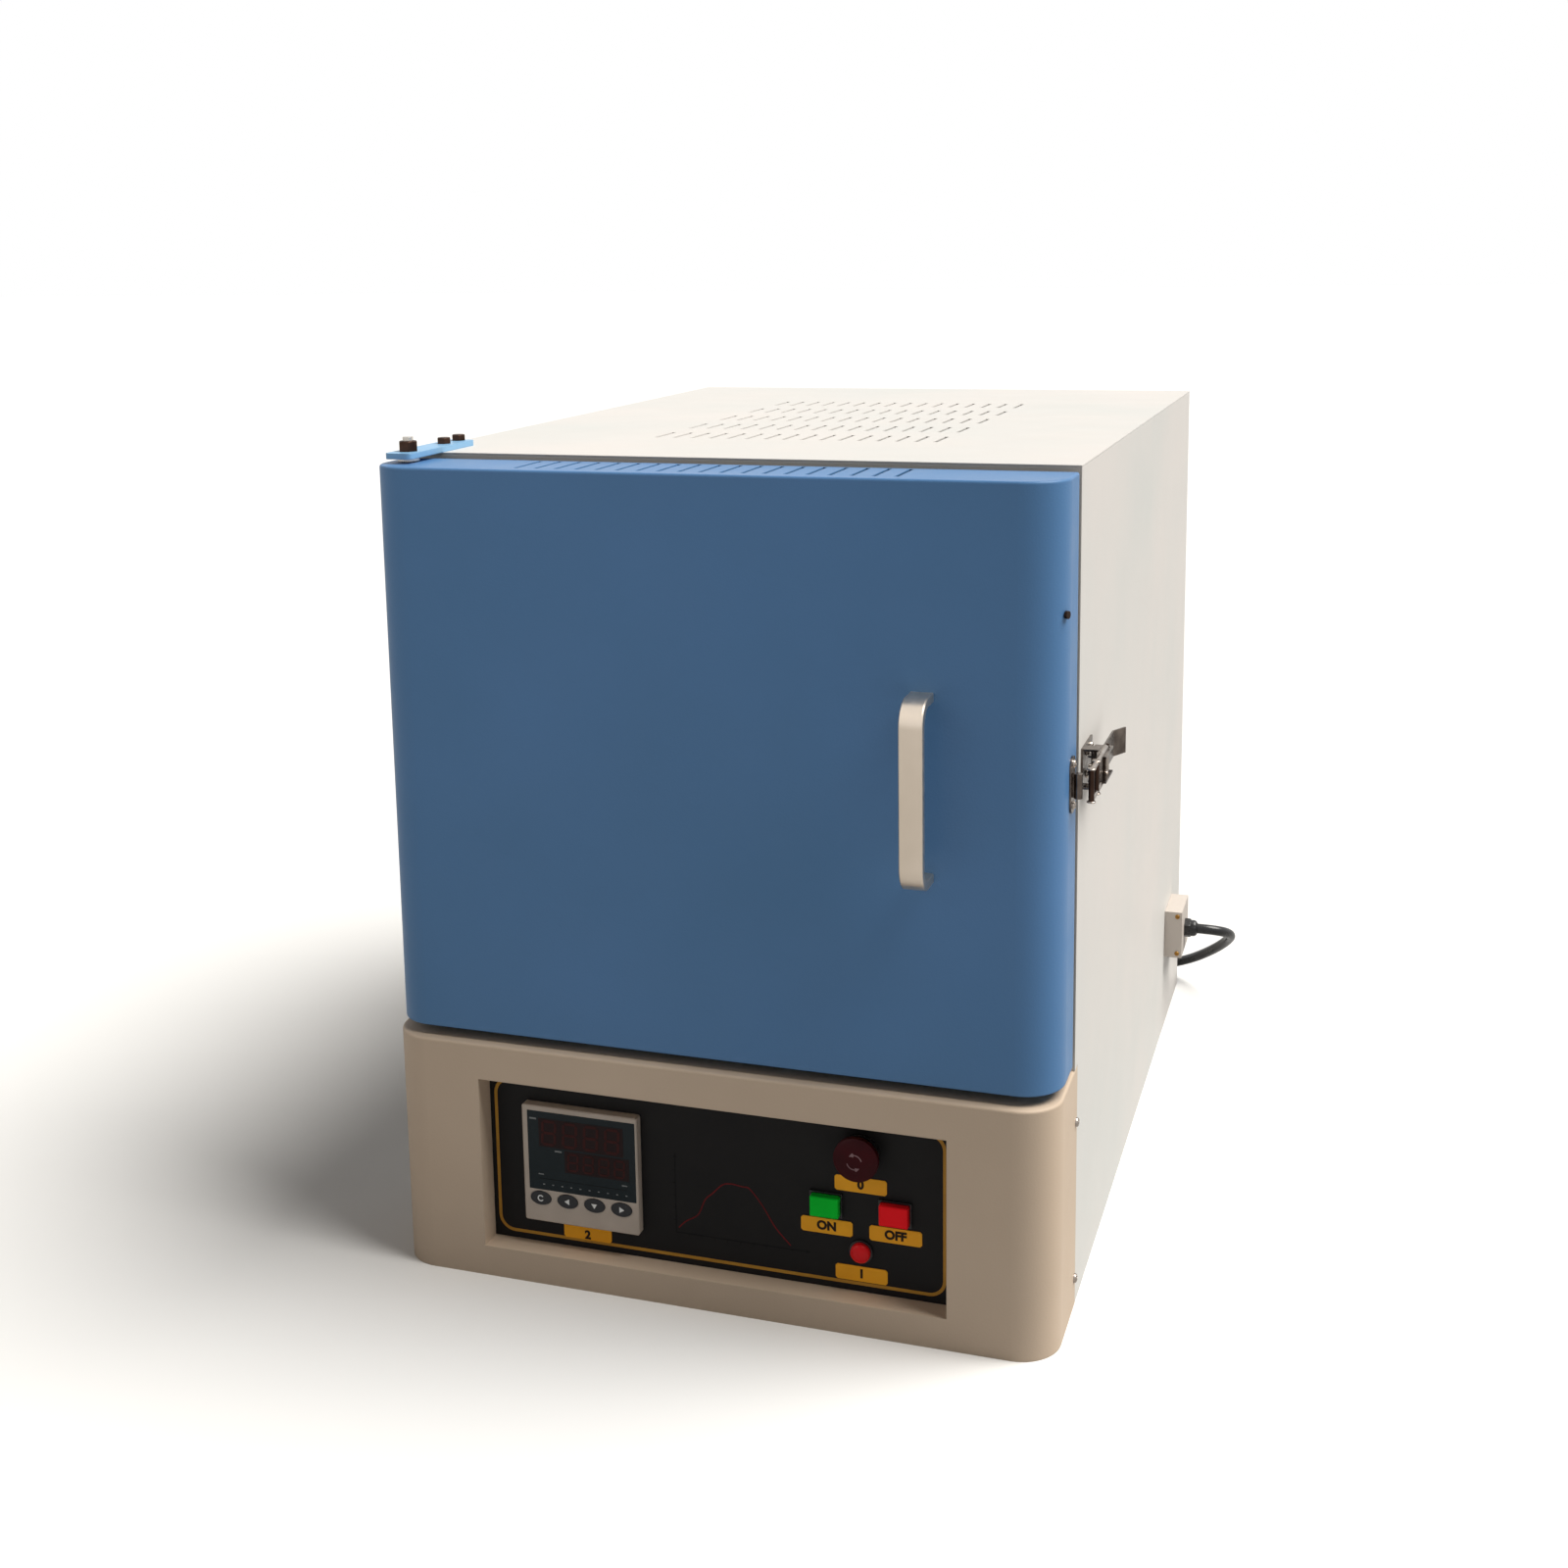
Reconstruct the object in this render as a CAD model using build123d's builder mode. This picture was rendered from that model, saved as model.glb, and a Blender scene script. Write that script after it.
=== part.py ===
"""Bench-top muffle furnace: insulated chamber on a control base, side-hinged front door.

Frame: X to the right, Y to the back, Z up, in millimetres. The origin is the centre of the base's
underside, and the front of the control base faces -Y.
"""
from build123d import *
import math
import os

os.makedirs("parts", exist_ok=True)

# ---------------------------------------------------------------- driving dimensions
WIDTH = 525.0
DEPTH = 764.0
HEIGHT = 640.5
SHEET = 1.5
CORNER_R = 31.0
FOLD_R = 2.0  # outer radius of a folded sheet edge
TOUCH = 0.3  # clearance between curved faces on different bodies

BASE_H = 192.0
DOOR_GAP = 8.0
DOOR_SETBACK = 7.0
DOOR_T = 61.0
DOOR_DROP = 3.5  # how far the door's top lies below the casing's top
SEAL_GAP = 11.0
BASE_SEAM_BACK = 12.0

CHAMBER_W = 300.0
CHAMBER_H = 200.0
CHAMBER_D = 400.0
SIDE_AIR = 11.0
ROOF_AIR = 20.5
REAR_WALL_T = 120.0
PLUG_CLEAR = 8.0
PLUG_REACH = 29.0
PLUG_END_GAP = 2.0  # between the door plug's face and the heated length
PLUG_TAPER = 6.0

# ---------------------------------------------------------------- planes that pieces share
HALF_W = WIDTH / 2
FRONT_Y = -DEPTH / 2
BACK_Y = DEPTH / 2
DOOR_Y = FRONT_Y + DOOR_SETBACK
DOOR_BACK_Y = DOOR_Y + DOOR_T
CASE_Y = DOOR_BACK_Y + SEAL_GAP
SEAM_Y = CASE_Y + BASE_SEAM_BACK
DOOR_Z0 = BASE_H + DOOR_GAP
DOOR_Z1 = HEIGHT - DOOR_DROP
DOOR_H = DOOR_Z1 - DOOR_Z0
CHAMBER_Z = (DOOR_Z0 + DOOR_Z1) / 2
CHAMBER_Z0 = CHAMBER_Z - CHAMBER_H / 2
CHAMBER_Z1 = CHAMBER_Z + CHAMBER_H / 2
MOUTH_Y = CASE_Y + SHEET
PLUG_END_Y = DOOR_BACK_Y + PLUG_REACH
CHAMBER_Y0 = PLUG_END_Y + PLUG_END_GAP
CHAMBER_Y1 = CHAMBER_Y0 + CHAMBER_D
REAR_WALL_Y = CHAMBER_Y1 + REAR_WALL_T


SCREW_SIDES = 12


def save(part, name):
    """Name one sub-part and write it to its own STEP file."""
    part.label = name
    export_step(part, f"parts/{name}.step")


def box_between(x, y, z, mode=Mode.ADD):
    """A box from three (low, high) pairs, inside the current BuildPart."""
    with Locations(((x[0] + x[1]) / 2, (y[0] + y[1]) / 2, (z[0] + z[1]) / 2)):
        Box(x[1] - x[0], y[1] - y[0], z[1] - z[0], mode=mode)


def rod_x(y, z, x0, x1, radius, mode=Mode.ADD):
    """A round rod along X between x0 and x1."""
    with Locations(Location(((x0 + x1) / 2, y, z), (0, 90, 0))):
        Cylinder(radius, x1 - x0, mode=mode)


def rod_y(x, z, y0, y1, radius, mode=Mode.ADD):
    """A round rod along Y between y0 and y1."""
    with Locations(Location((x, (y0 + y1) / 2, z), (90, 0, 0))):
        Cylinder(radius, y1 - y0, mode=mode)


def rod_z(x, y, z0, z1, radius, mode=Mode.ADD):
    """A round rod along Z between z0 and z1."""
    with Locations((x, y, (z0 + z1) / 2)):
        Cylinder(radius, z1 - z0, mode=mode)


def screw_head(foot, outward, height, radius):
    """A small twelve-sided screw head that stands on a foot point, as a part to add."""
    with BuildPart() as head:
        with BuildSketch(Plane(foot, z_dir=outward)):
            RegularPolygon(radius, SCREW_SIDES)
        extrude(amount=height)
    return head.part


def front_plan(half_w, y0, y1, corner_r):
    """A plan outline whose two front corners are rounded, as a sketch."""
    with BuildSketch() as plan:
        with BuildLine():
            FilletPolyline(
                (half_w, y1), (half_w, y0), (-half_w, y0), (-half_w, y1), radius=corner_r
            )
            Line((-half_w, y1), (half_w, y1))
        make_face()
    return plan.sketch


def bevelled_disc(x, z, y0, y1, radius, face_r, bevel):
    """A round head along Y whose front face, at y0, has a wide bevel, as a part to add."""
    with BuildPart() as disc:
        with BuildSketch(Plane.YZ.offset(x)):
            with BuildLine():
                Polyline((y0, z), (y0, z + face_r), (y0 + bevel, z + radius), (y1, z + radius),
                         (y1, z), close=True)
            make_face()
        revolve(axis=Axis((x, 0, z), (0, 1, 0)))
    return disc.part


# ---------------------------------------------------------------- casing
with BuildPart() as base_tray:
    TRAY_LIP = 15.0
    with BuildSketch():
        add(front_plan(HALF_W - SHEET, FRONT_Y + SHEET, BACK_Y - SHEET, CORNER_R - SHEET))
    extrude(amount=TRAY_LIP)
    with BuildSketch(Plane.XY.offset(SHEET)):
        lip = 2 * SHEET
        add(front_plan(HALF_W - lip, FRONT_Y + lip, BACK_Y - lip, CORNER_R - lip))
    extrude(amount=TRAY_LIP, mode=Mode.SUBTRACT)
save(base_tray.part, "base_tray")

for name, side in (("casing_left", -1), ("casing_right", 1)):
    with BuildPart() as panel:
        inner_x = side * HALF_W - (SHEET if side > 0 else 0)
        with BuildSketch(Plane.YZ.offset(inner_x)):
            with BuildLine():
                Polyline(
                    (SEAM_Y, 0), (BACK_Y, 0), (BACK_Y, HEIGHT - SHEET),
                    (CASE_Y, HEIGHT - SHEET), (CASE_Y, BASE_H), (SEAM_Y, BASE_H), close=True,
                )
            make_face()
        extrude(amount=SHEET)
    save(panel.part, name)

with BuildPart() as casing_back:
    box_between((-HALF_W + SHEET, HALF_W - SHEET), (BACK_Y - SHEET, BACK_Y), (0, HEIGHT - SHEET))
save(casing_back.part, "casing_back")

TOP_SLOT_L = 42.0
TOP_SLOT_W = 3.2
TOP_SLOT_COLS = 16
TOP_SLOT_PITCH = 15.7
TOP_SLOT_X = 6.5
TOP_SLOT_ROWS = 5
TOP_ROW_PITCH = 80.0
TOP_ROW_IN = 160.0  # from the casing's front edge to the middle of the first row
HINGE_INSET = 17.5
HINGE_BACK = 37.0
HINGE_X = -HALF_W + HINGE_INSET
HINGE_Y = DOOR_Y + HINGE_BACK
BAR_W = 22.0
BAR_T = 4.5
BAR_END = 18.0
BAR_L = 108.0
BAR_BOLTS = (58.0, 83.0)  # distances behind the pivot
BAR_BOLT_R = 3.0
BAR_CORNER_R = 4.0
with BuildPart() as casing_top:
    box_between((-HALF_W, HALF_W), (CASE_Y, BACK_Y), (HEIGHT - SHEET, HEIGHT))
    with BuildSketch(Plane.XY.offset(HEIGHT)):
        for row in range(TOP_SLOT_ROWS):
            with Locations((TOP_SLOT_X, CASE_Y + TOP_ROW_IN + row * TOP_ROW_PITCH)):
                with GridLocations(TOP_SLOT_PITCH, 0, TOP_SLOT_COLS, 1):
                    Rectangle(TOP_SLOT_W, TOP_SLOT_L)
    extrude(amount=-SHEET, mode=Mode.SUBTRACT)
    for back in BAR_BOLTS:
        rod_z(HINGE_X, HINGE_Y + back, HEIGHT - SHEET, HEIGHT, BAR_BOLT_R, mode=Mode.SUBTRACT)
save(casing_top.part, "casing_top")

with BuildPart() as front_panel:
    box_between((-HALF_W + SHEET, HALF_W - SHEET), (CASE_Y, MOUTH_Y), (BASE_H, HEIGHT - SHEET))
    box_between(
        (-CHAMBER_W / 2, CHAMBER_W / 2), (CASE_Y, MOUTH_Y), (CHAMBER_Z0, CHAMBER_Z1),
        mode=Mode.SUBTRACT,
    )
save(front_panel.part, "front_panel")

SHELF_UP = 4.0
SHELF_T = 2.0
SHELF_Z = BASE_H + SHELF_UP
SHELF_TOP = SHELF_Z + SHELF_T
with BuildPart() as chamber_shelf:
    box_between((-HALF_W + SHEET, HALF_W - SHEET), (MOUTH_Y, BACK_Y - SHEET), (SHELF_Z, SHELF_TOP))
save(chamber_shelf.part, "chamber_shelf")

# ---------------------------------------------------------------- insulation and chamber
WALL_X = (CHAMBER_W / 2, HALF_W - SHEET - SIDE_AIR)
with BuildPart() as insulation_floor:
    box_between((-WALL_X[1], WALL_X[1]), (MOUTH_Y, REAR_WALL_Y), (SHELF_TOP, CHAMBER_Z0))
save(insulation_floor.part, "insulation_floor")

with BuildPart() as insulation_roof:
    roof_z = (CHAMBER_Z1, HEIGHT - SHEET - ROOF_AIR)
    box_between((-WALL_X[1], WALL_X[1]), (MOUTH_Y, REAR_WALL_Y), roof_z)
save(insulation_roof.part, "insulation_roof")

THERMO_R = 4.0
THERMO_UP = 60.0
THERMO_Z = CHAMBER_Z + THERMO_UP
THERMO_REACH = 45.0
with BuildPart() as insulation_rear:
    box_between((-WALL_X[0], WALL_X[0]), (CHAMBER_Y1, REAR_WALL_Y), (CHAMBER_Z0, CHAMBER_Z1))
    rod_y(0, THERMO_Z, CHAMBER_Y1, REAR_WALL_Y, THERMO_R + TOUCH, mode=Mode.SUBTRACT)
save(insulation_rear.part, "insulation_rear")

ELEMENT_W = 6.0
ELEMENT_ROWS = 4
ELEMENT_PITCH = 45.0
ELEMENT_INSET = 28.0
ELEMENT_BEND_R = 4.0
GROOVE_W = 11.0
GROOVE_D = 10.0
ELEMENT_TAIL = 14.0
row_zs = [CHAMBER_Z + (i - (ELEMENT_ROWS - 1) / 2) * ELEMENT_PITCH for i in range(ELEMENT_ROWS)]
run_y = (CHAMBER_Y0 + ELEMENT_INSET, CHAMBER_Y1 - ELEMENT_INSET)

for name, side in (("insulation_left", -1), ("insulation_right", 1)):
    with BuildPart() as wall:
        box_between(sorted((side * WALL_X[0], side * WALL_X[1])), (MOUTH_Y, REAR_WALL_Y),
                    (CHAMBER_Z0, CHAMBER_Z1))
        groove_x = sorted((side * WALL_X[0], side * (WALL_X[0] + GROOVE_D)))
        for i, z in enumerate(row_zs):
            ends = (run_y[0], REAR_WALL_Y if i in (0, ELEMENT_ROWS - 1) else run_y[1])
            box_between(groove_x, ends, (z - GROOVE_W / 2, z + GROOVE_W / 2), mode=Mode.SUBTRACT)
        for y in run_y:
            box_between(groove_x, (y - GROOVE_W / 2, y + GROOVE_W / 2),
                        (row_zs[0] - GROOVE_W / 2, row_zs[-1] + GROOVE_W / 2), mode=Mode.SUBTRACT)
    save(wall.part, name)

tail_y = REAR_WALL_Y + ELEMENT_TAIL
serpentine = [(tail_y, row_zs[0])]
for i in range(ELEMENT_ROWS - 1):
    serpentine += [(run_y[i % 2], row_zs[i]), (run_y[i % 2], row_zs[i + 1])]
serpentine.append((tail_y, row_zs[-1]))
with BuildPart() as heating_elements:
    for side in (-1, 1):
        inner_x = side * (WALL_X[0] + GROOVE_D) - (ELEMENT_W if side > 0 else 0)
        with BuildSketch(Plane.YZ.offset(inner_x)):
            with BuildLine():
                FilletPolyline(*serpentine, radius=ELEMENT_BEND_R)
            trace(line_width=ELEMENT_W)
        extrude(amount=ELEMENT_W)
save(heating_elements.part, "heating_elements")

HEARTH_T = 8.0
HEARTH_GAP = 8.0
HEARTH_EDGE = 1.5
with BuildPart() as hearth_plate:
    box_between((-CHAMBER_W / 2 + HEARTH_GAP, CHAMBER_W / 2 - HEARTH_GAP),
                (CHAMBER_Y0, CHAMBER_Y1 - HEARTH_GAP), (CHAMBER_Z0, CHAMBER_Z0 + HEARTH_T))
    chamfer(hearth_plate.edges().group_by(Axis.Z)[-1], HEARTH_EDGE)
save(hearth_plate.part, "hearth_plate")

THERMO_HEAD_R = 12.0
THERMO_HEAD_L = 22.0
with BuildPart() as thermocouple:
    rod_y(0, THERMO_Z, CHAMBER_Y1 - THERMO_REACH, REAR_WALL_Y, THERMO_R)
    rod_y(0, THERMO_Z, REAR_WALL_Y, REAR_WALL_Y + THERMO_HEAD_L, THERMO_HEAD_R)
save(thermocouple.part, "thermocouple")

# ---------------------------------------------------------------- control base
RECESS_X = (-186.0, 184.0)
RECESS_Z = (24.6, 163.3)
RECESS_D = 19.0
PLATE_Y = FRONT_Y + RECESS_D
PLATE_T = 2.0
PLATE_LAP = 8.0
PIVOT_R = 4.0
with BuildPart() as fascia:
    with BuildSketch():
        add(front_plan(HALF_W, FRONT_Y, SEAM_Y, CORNER_R))
    extrude(amount=BASE_H)
    fillet(fascia.faces().sort_by(Axis.Z)[-1].edges().sort_by(Axis.Y)[:-1], FOLD_R)
    with BuildSketch():
        add(front_plan(HALF_W - SHEET, FRONT_Y + SHEET, SEAM_Y, CORNER_R - SHEET))
    extrude(amount=BASE_H - SHEET, mode=Mode.SUBTRACT)
    box_between((RECESS_X[0] - SHEET, RECESS_X[1] + SHEET), (FRONT_Y + SHEET, PLATE_Y),
                (RECESS_Z[0] - SHEET, RECESS_Z[1] + SHEET))
    box_between(RECESS_X, (FRONT_Y, PLATE_Y), RECESS_Z, mode=Mode.SUBTRACT)
    rod_z(HINGE_X, HINGE_Y, BASE_H - SHEET, BASE_H, PIVOT_R, mode=Mode.SUBTRACT)
save(fascia.part, "fascia")

FASCIA_SCREW_Z = (23.0, 148.6)
FASCIA_SCREW_IN = 4.5
BACK_SCREW_INSET = 22.0
CASE_SCREW_R = 3.6
CASE_SCREW_H = 2.4
with BuildPart() as casing_screws:
    for side in (-1, 1):
        for z in FASCIA_SCREW_Z:
            foot = (side * HALF_W, SEAM_Y - FASCIA_SCREW_IN, z)
            add(screw_head(foot, (side, 0, 0), CASE_SCREW_H, CASE_SCREW_R))
        for z in (BACK_SCREW_INSET, HEIGHT / 2, HEIGHT - BACK_SCREW_INSET):
            foot = (side * (HALF_W - BACK_SCREW_INSET), BACK_Y, z)
            add(screw_head(foot, (0, 1, 0), CASE_SCREW_H, CASE_SCREW_R))
save(casing_screws.part, "casing_screws")

# controller
CONTROLLER = 96.0
CONTROLLER_X = -107.6
CONTROLLER_Z = 94.2
BEZEL_T = 8.0
BEZEL_CORNER_R = 2.0
BEZEL_EDGE = 0.8
CUTOUT = 92.0
BODY_D = 80.0
WINDOW_W = 89.7
WINDOW_H = 65.0
WINDOW_UP = 11.3
WINDOW_RIGHT = 1.5
WINDOW_T = 1.0
KEY_W = 17.0
KEY_H = 11.0
KEY_T = 3.0
KEY_PROUD = 0.8
KEY_PITCH = 22.6
KEY_DOWN = 28.2
KEY_COUNT = 4
KEY_POCKET = 3.4
BEZEL_Y = PLATE_Y - BEZEL_T
KEY_Z = CONTROLLER_Z - KEY_DOWN
key_xs = [CONTROLLER_X + (i - (KEY_COUNT - 1) / 2) * KEY_PITCH for i in range(KEY_COUNT)]

# push buttons, stop button and lamp
BUTTON_W = 22.0
BUTTON_H = 16.0
BUTTON_RIM = 1.6
BUTTON_RIM_T = 2.5
BUTTON_FRONT = 8.0
BUTTON_CAP_T = 7.0
BUTTON_BODY_D = 30.0
BUTTONS = (("green_button", 88.5, 91.8), ("red_button", 141.5, 91.8))
STOP_X = 115.0
STOP_Z = 136.0
STOP_HEAD_R = 17.0
STOP_STEM_R = 5.6
STOP_COLLAR_R = 14.5
STOP_COLLAR_T = 3.0
STOP_BODY_R = 11.0
STOP_BODY_D = 45.0
STOP_TRAVEL = 5.0
STOP_RUN_OUT = 1.5  # room left under the head when it is pressed home
STOP_GAP = STOP_TRAVEL + STOP_RUN_OUT
STOP_HEAD_T = 8.5
STOP_FACE_R = 10.5
STOP_BEVEL = 3.4
STOP_PIN_R = 3.0
STOP_PIN_L = 4.0
STOP_STEM_IN = 4.0  # how far the stem reaches into the switch body
LAMP_X = 115.2
LAMP_Z = 57.5
LAMP_R = 7.6
LAMP_RIM_R = 9.0
LAMP_RIM_T = 2.0
LAMP_BODY_R = 5.5
LAMP_BODY_D = 22.0

with BuildPart() as panel_plate:
    box_between((RECESS_X[0] - PLATE_LAP, RECESS_X[1] + PLATE_LAP), (PLATE_Y, PLATE_Y + PLATE_T),
                (RECESS_Z[0] - PLATE_LAP, RECESS_Z[1] + PLATE_LAP))
    box_between((CONTROLLER_X - CUTOUT / 2, CONTROLLER_X + CUTOUT / 2), (PLATE_Y, PLATE_Y + PLATE_T),
                (CONTROLLER_Z - CUTOUT / 2, CONTROLLER_Z + CUTOUT / 2), mode=Mode.SUBTRACT)
    for _, x, z in BUTTONS:
        box_between((x - BUTTON_W / 2 - TOUCH, x + BUTTON_W / 2 + TOUCH), (PLATE_Y, PLATE_Y + PLATE_T),
                    (z - BUTTON_H / 2 - TOUCH, z + BUTTON_H / 2 + TOUCH), mode=Mode.SUBTRACT)
    rod_y(STOP_X, STOP_Z, PLATE_Y, PLATE_Y + PLATE_T, STOP_STEM_R + TOUCH, mode=Mode.SUBTRACT)
    rod_y(LAMP_X, LAMP_Z, PLATE_Y, PLATE_Y + PLATE_T, LAMP_BODY_R, mode=Mode.SUBTRACT)
save(panel_plate.part, "panel_plate")

with BuildPart() as controller_bezel:
    box_between((CONTROLLER_X - CONTROLLER / 2, CONTROLLER_X + CONTROLLER / 2), (BEZEL_Y, PLATE_Y),
                (CONTROLLER_Z - CONTROLLER / 2, CONTROLLER_Z + CONTROLLER / 2))
    fillet(controller_bezel.edges().filter_by(Axis.Y), BEZEL_CORNER_R)
    chamfer(controller_bezel.faces().sort_by(Axis.Y)[0].edges(), BEZEL_EDGE)
    window_x = (CONTROLLER_X + WINDOW_RIGHT - WINDOW_W / 2, CONTROLLER_X + WINDOW_RIGHT + WINDOW_W / 2)
    window_z = (CONTROLLER_Z + WINDOW_UP - WINDOW_H / 2, CONTROLLER_Z + WINDOW_UP + WINDOW_H / 2)
    box_between(window_x, (BEZEL_Y, BEZEL_Y + WINDOW_T), window_z, mode=Mode.SUBTRACT)
    with BuildSketch(Plane.XZ.offset(-BEZEL_Y)):
        for x in key_xs:
            with Locations((x, KEY_Z)):
                Ellipse(KEY_W / 2 + TOUCH, KEY_H / 2 + TOUCH)
    extrude(amount=-KEY_POCKET, mode=Mode.SUBTRACT)
save(controller_bezel.part, "controller_bezel")

with BuildPart() as controller_window:
    box_between(window_x, (BEZEL_Y, BEZEL_Y + WINDOW_T), window_z)
save(controller_window.part, "controller_window")

for i, x in enumerate(key_xs):
    with BuildPart() as key:
        with BuildSketch(Plane.XZ.offset(KEY_PROUD - BEZEL_Y)):
            with Locations((x, KEY_Z)):
                Ellipse(KEY_W / 2, KEY_H / 2)
        extrude(amount=-KEY_T)
    save(key.part, f"controller_key_{i + 1}")

with BuildPart() as panel_rims:
    for _, x, z in BUTTONS:
        outer = (BUTTON_W / 2 + BUTTON_RIM, BUTTON_H / 2 + BUTTON_RIM)
        box_between((x - outer[0], x + outer[0]), (PLATE_Y - BUTTON_RIM_T, PLATE_Y),
                    (z - outer[1], z + outer[1]))
        box_between((x - BUTTON_W / 2 - TOUCH, x + BUTTON_W / 2 + TOUCH),
                    (PLATE_Y - BUTTON_RIM_T, PLATE_Y),
                    (z - BUTTON_H / 2 - TOUCH, z + BUTTON_H / 2 + TOUCH), mode=Mode.SUBTRACT)
    rod_y(STOP_X, STOP_Z, PLATE_Y - STOP_COLLAR_T, PLATE_Y, STOP_COLLAR_R)
    rod_y(STOP_X, STOP_Z, PLATE_Y - STOP_COLLAR_T, PLATE_Y, STOP_STEM_R + TOUCH, mode=Mode.SUBTRACT)
save(panel_rims.part, "panel_rims")

BUTTON_TRAVEL = 3.0
BUTTON_RUN_OUT = 1.0  # room left behind a cap that is pressed home
BUTTON_CORNER_R = 1.0
BUTTON_EDGE = 0.7
BODY_GAP = 0.5
BODIES_Y = PLATE_Y + PLATE_T
with BuildPart() as switch_bodies:
    half = CUTOUT / 2 - BODY_GAP
    box_between((CONTROLLER_X - half, CONTROLLER_X + half), (PLATE_Y, PLATE_Y + BODY_D),
                (CONTROLLER_Z - half, CONTROLLER_Z + half))
    stop_bore = STOP_STEM_IN + STOP_TRAVEL + STOP_RUN_OUT
    pocket = BUTTON_TRAVEL + BUTTON_CAP_T - BUTTON_FRONT - PLATE_T + BUTTON_RUN_OUT
    for _, x, z in BUTTONS:
        outer = (BUTTON_W / 2 + BUTTON_RIM, BUTTON_H / 2 + BUTTON_RIM)
        box_between((x - outer[0], x + outer[0]), (BODIES_Y, BODIES_Y + BUTTON_BODY_D),
                    (z - outer[1], z + outer[1]))
        box_between((x - BUTTON_W / 2 - TOUCH, x + BUTTON_W / 2 + TOUCH),
                    (BODIES_Y, BODIES_Y + pocket),
                    (z - BUTTON_H / 2 - TOUCH, z + BUTTON_H / 2 + TOUCH), mode=Mode.SUBTRACT)
    rod_y(STOP_X, STOP_Z, BODIES_Y, BODIES_Y + STOP_BODY_D, STOP_BODY_R)
    rod_y(STOP_X, STOP_Z, BODIES_Y, BODIES_Y + stop_bore, STOP_STEM_R + TOUCH, mode=Mode.SUBTRACT)
save(switch_bodies.part, "switch_bodies")

for name, x, z in BUTTONS:
    with BuildPart() as cap:
        cap_y = PLATE_Y - BUTTON_FRONT
        box_between((x - BUTTON_W / 2, x + BUTTON_W / 2), (cap_y, cap_y + BUTTON_CAP_T),
                    (z - BUTTON_H / 2, z + BUTTON_H / 2))
        fillet(cap.edges().filter_by(Axis.Y), BUTTON_CORNER_R)
        chamfer(cap.faces().sort_by(Axis.Y)[0].edges(), BUTTON_EDGE)
    save(cap.part, name)

head_back_y = PLATE_Y - STOP_COLLAR_T - STOP_GAP
with BuildPart() as stop_stem:
    rod_y(STOP_X, STOP_Z, head_back_y, BODIES_Y + STOP_STEM_IN, STOP_STEM_R)
    rod_y(STOP_X, STOP_Z, head_back_y - STOP_PIN_L, head_back_y, STOP_PIN_R)
save(stop_stem.part, "stop_stem")

with BuildPart() as stop_head:
    add(bevelled_disc(STOP_X, STOP_Z, head_back_y - STOP_HEAD_T, head_back_y, STOP_HEAD_R,
                      STOP_FACE_R, STOP_BEVEL))
    rod_y(STOP_X, STOP_Z, head_back_y - STOP_PIN_L - TOUCH, head_back_y, STOP_PIN_R + TOUCH,
          mode=Mode.SUBTRACT)
save(stop_head.part, "stop_head")

with BuildPart() as lamp_body:
    rod_y(LAMP_X, LAMP_Z, PLATE_Y - LAMP_RIM_T, PLATE_Y, LAMP_RIM_R)
    rod_y(LAMP_X, LAMP_Z, PLATE_Y, PLATE_Y + LAMP_BODY_D, LAMP_BODY_R)
save(lamp_body.part, "lamp_body")

LENS_T = 6.0
LENS_FACE_R = 4.4
LENS_BEVEL = 2.8
with BuildPart() as lamp_lens:
    lens_y = PLATE_Y - LAMP_RIM_T
    add(bevelled_disc(LAMP_X, LAMP_Z, lens_y - LENS_T, lens_y, LAMP_R, LENS_FACE_R, LENS_BEVEL))
save(lamp_lens.part, "lamp_lens")

LABEL_W = 40.0
LABEL_H = 12.0
LABEL_T = 0.6
LABEL_CORNER = 1.5
CONTROLLER_LABEL_X = CONTROLLER_X + 1.4
LABEL_SPOTS = ((STOP_X, 110.0), (BUTTONS[0][1], 73.5), (BUTTONS[1][1], 73.5), (LAMP_X, 39.0),
               (CONTROLLER_LABEL_X, 38.0))
with BuildPart() as label_plates:
    with BuildSketch(Plane.XZ.offset(-PLATE_Y)):
        with Locations(*LABEL_SPOTS):
            Rectangle(LABEL_W, LABEL_H)
        chamfer(vertices(), LABEL_CORNER)
    extrude(amount=LABEL_T)
save(label_plates.part, "label_plates")

# ---------------------------------------------------------------- door
DOOR_SLOTS = 19
DOOR_SLOT_PITCH = 16.0
DOOR_SLOT_L = 45.0
DOOR_SLOT_W = 3.2
DOOR_SLOT_FRONT = 12.0
with BuildPart() as door_shell:
    with BuildSketch(Plane.XY.offset(DOOR_Z0)):
        add(front_plan(HALF_W, DOOR_Y, DOOR_BACK_Y, CORNER_R))
    extrude(amount=DOOR_H)
    fillet(door_shell.faces().sort_by(Axis.Z)[-1].edges().sort_by(Axis.Y)[:-1], FOLD_R)
    with BuildSketch(Plane.XY.offset(DOOR_Z0 + SHEET)):
        add(front_plan(HALF_W - SHEET, DOOR_Y + SHEET, DOOR_BACK_Y, CORNER_R - SHEET))
    extrude(amount=DOOR_H - 2 * SHEET, mode=Mode.SUBTRACT)
    with BuildSketch(Plane.XY.offset(DOOR_Z1)):
        with Locations((0, DOOR_Y + DOOR_SLOT_FRONT + DOOR_SLOT_L / 2)):
            with GridLocations(DOOR_SLOT_PITCH, 0, DOOR_SLOTS, 1):
                Rectangle(DOOR_SLOT_W, DOOR_SLOT_L)
    extrude(amount=-SHEET, mode=Mode.SUBTRACT)
    for z in (DOOR_Z0, DOOR_Z1 - SHEET):
        rod_z(HINGE_X, HINGE_Y, z, z + SHEET, PIVOT_R + TOUCH, mode=Mode.SUBTRACT)
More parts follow.
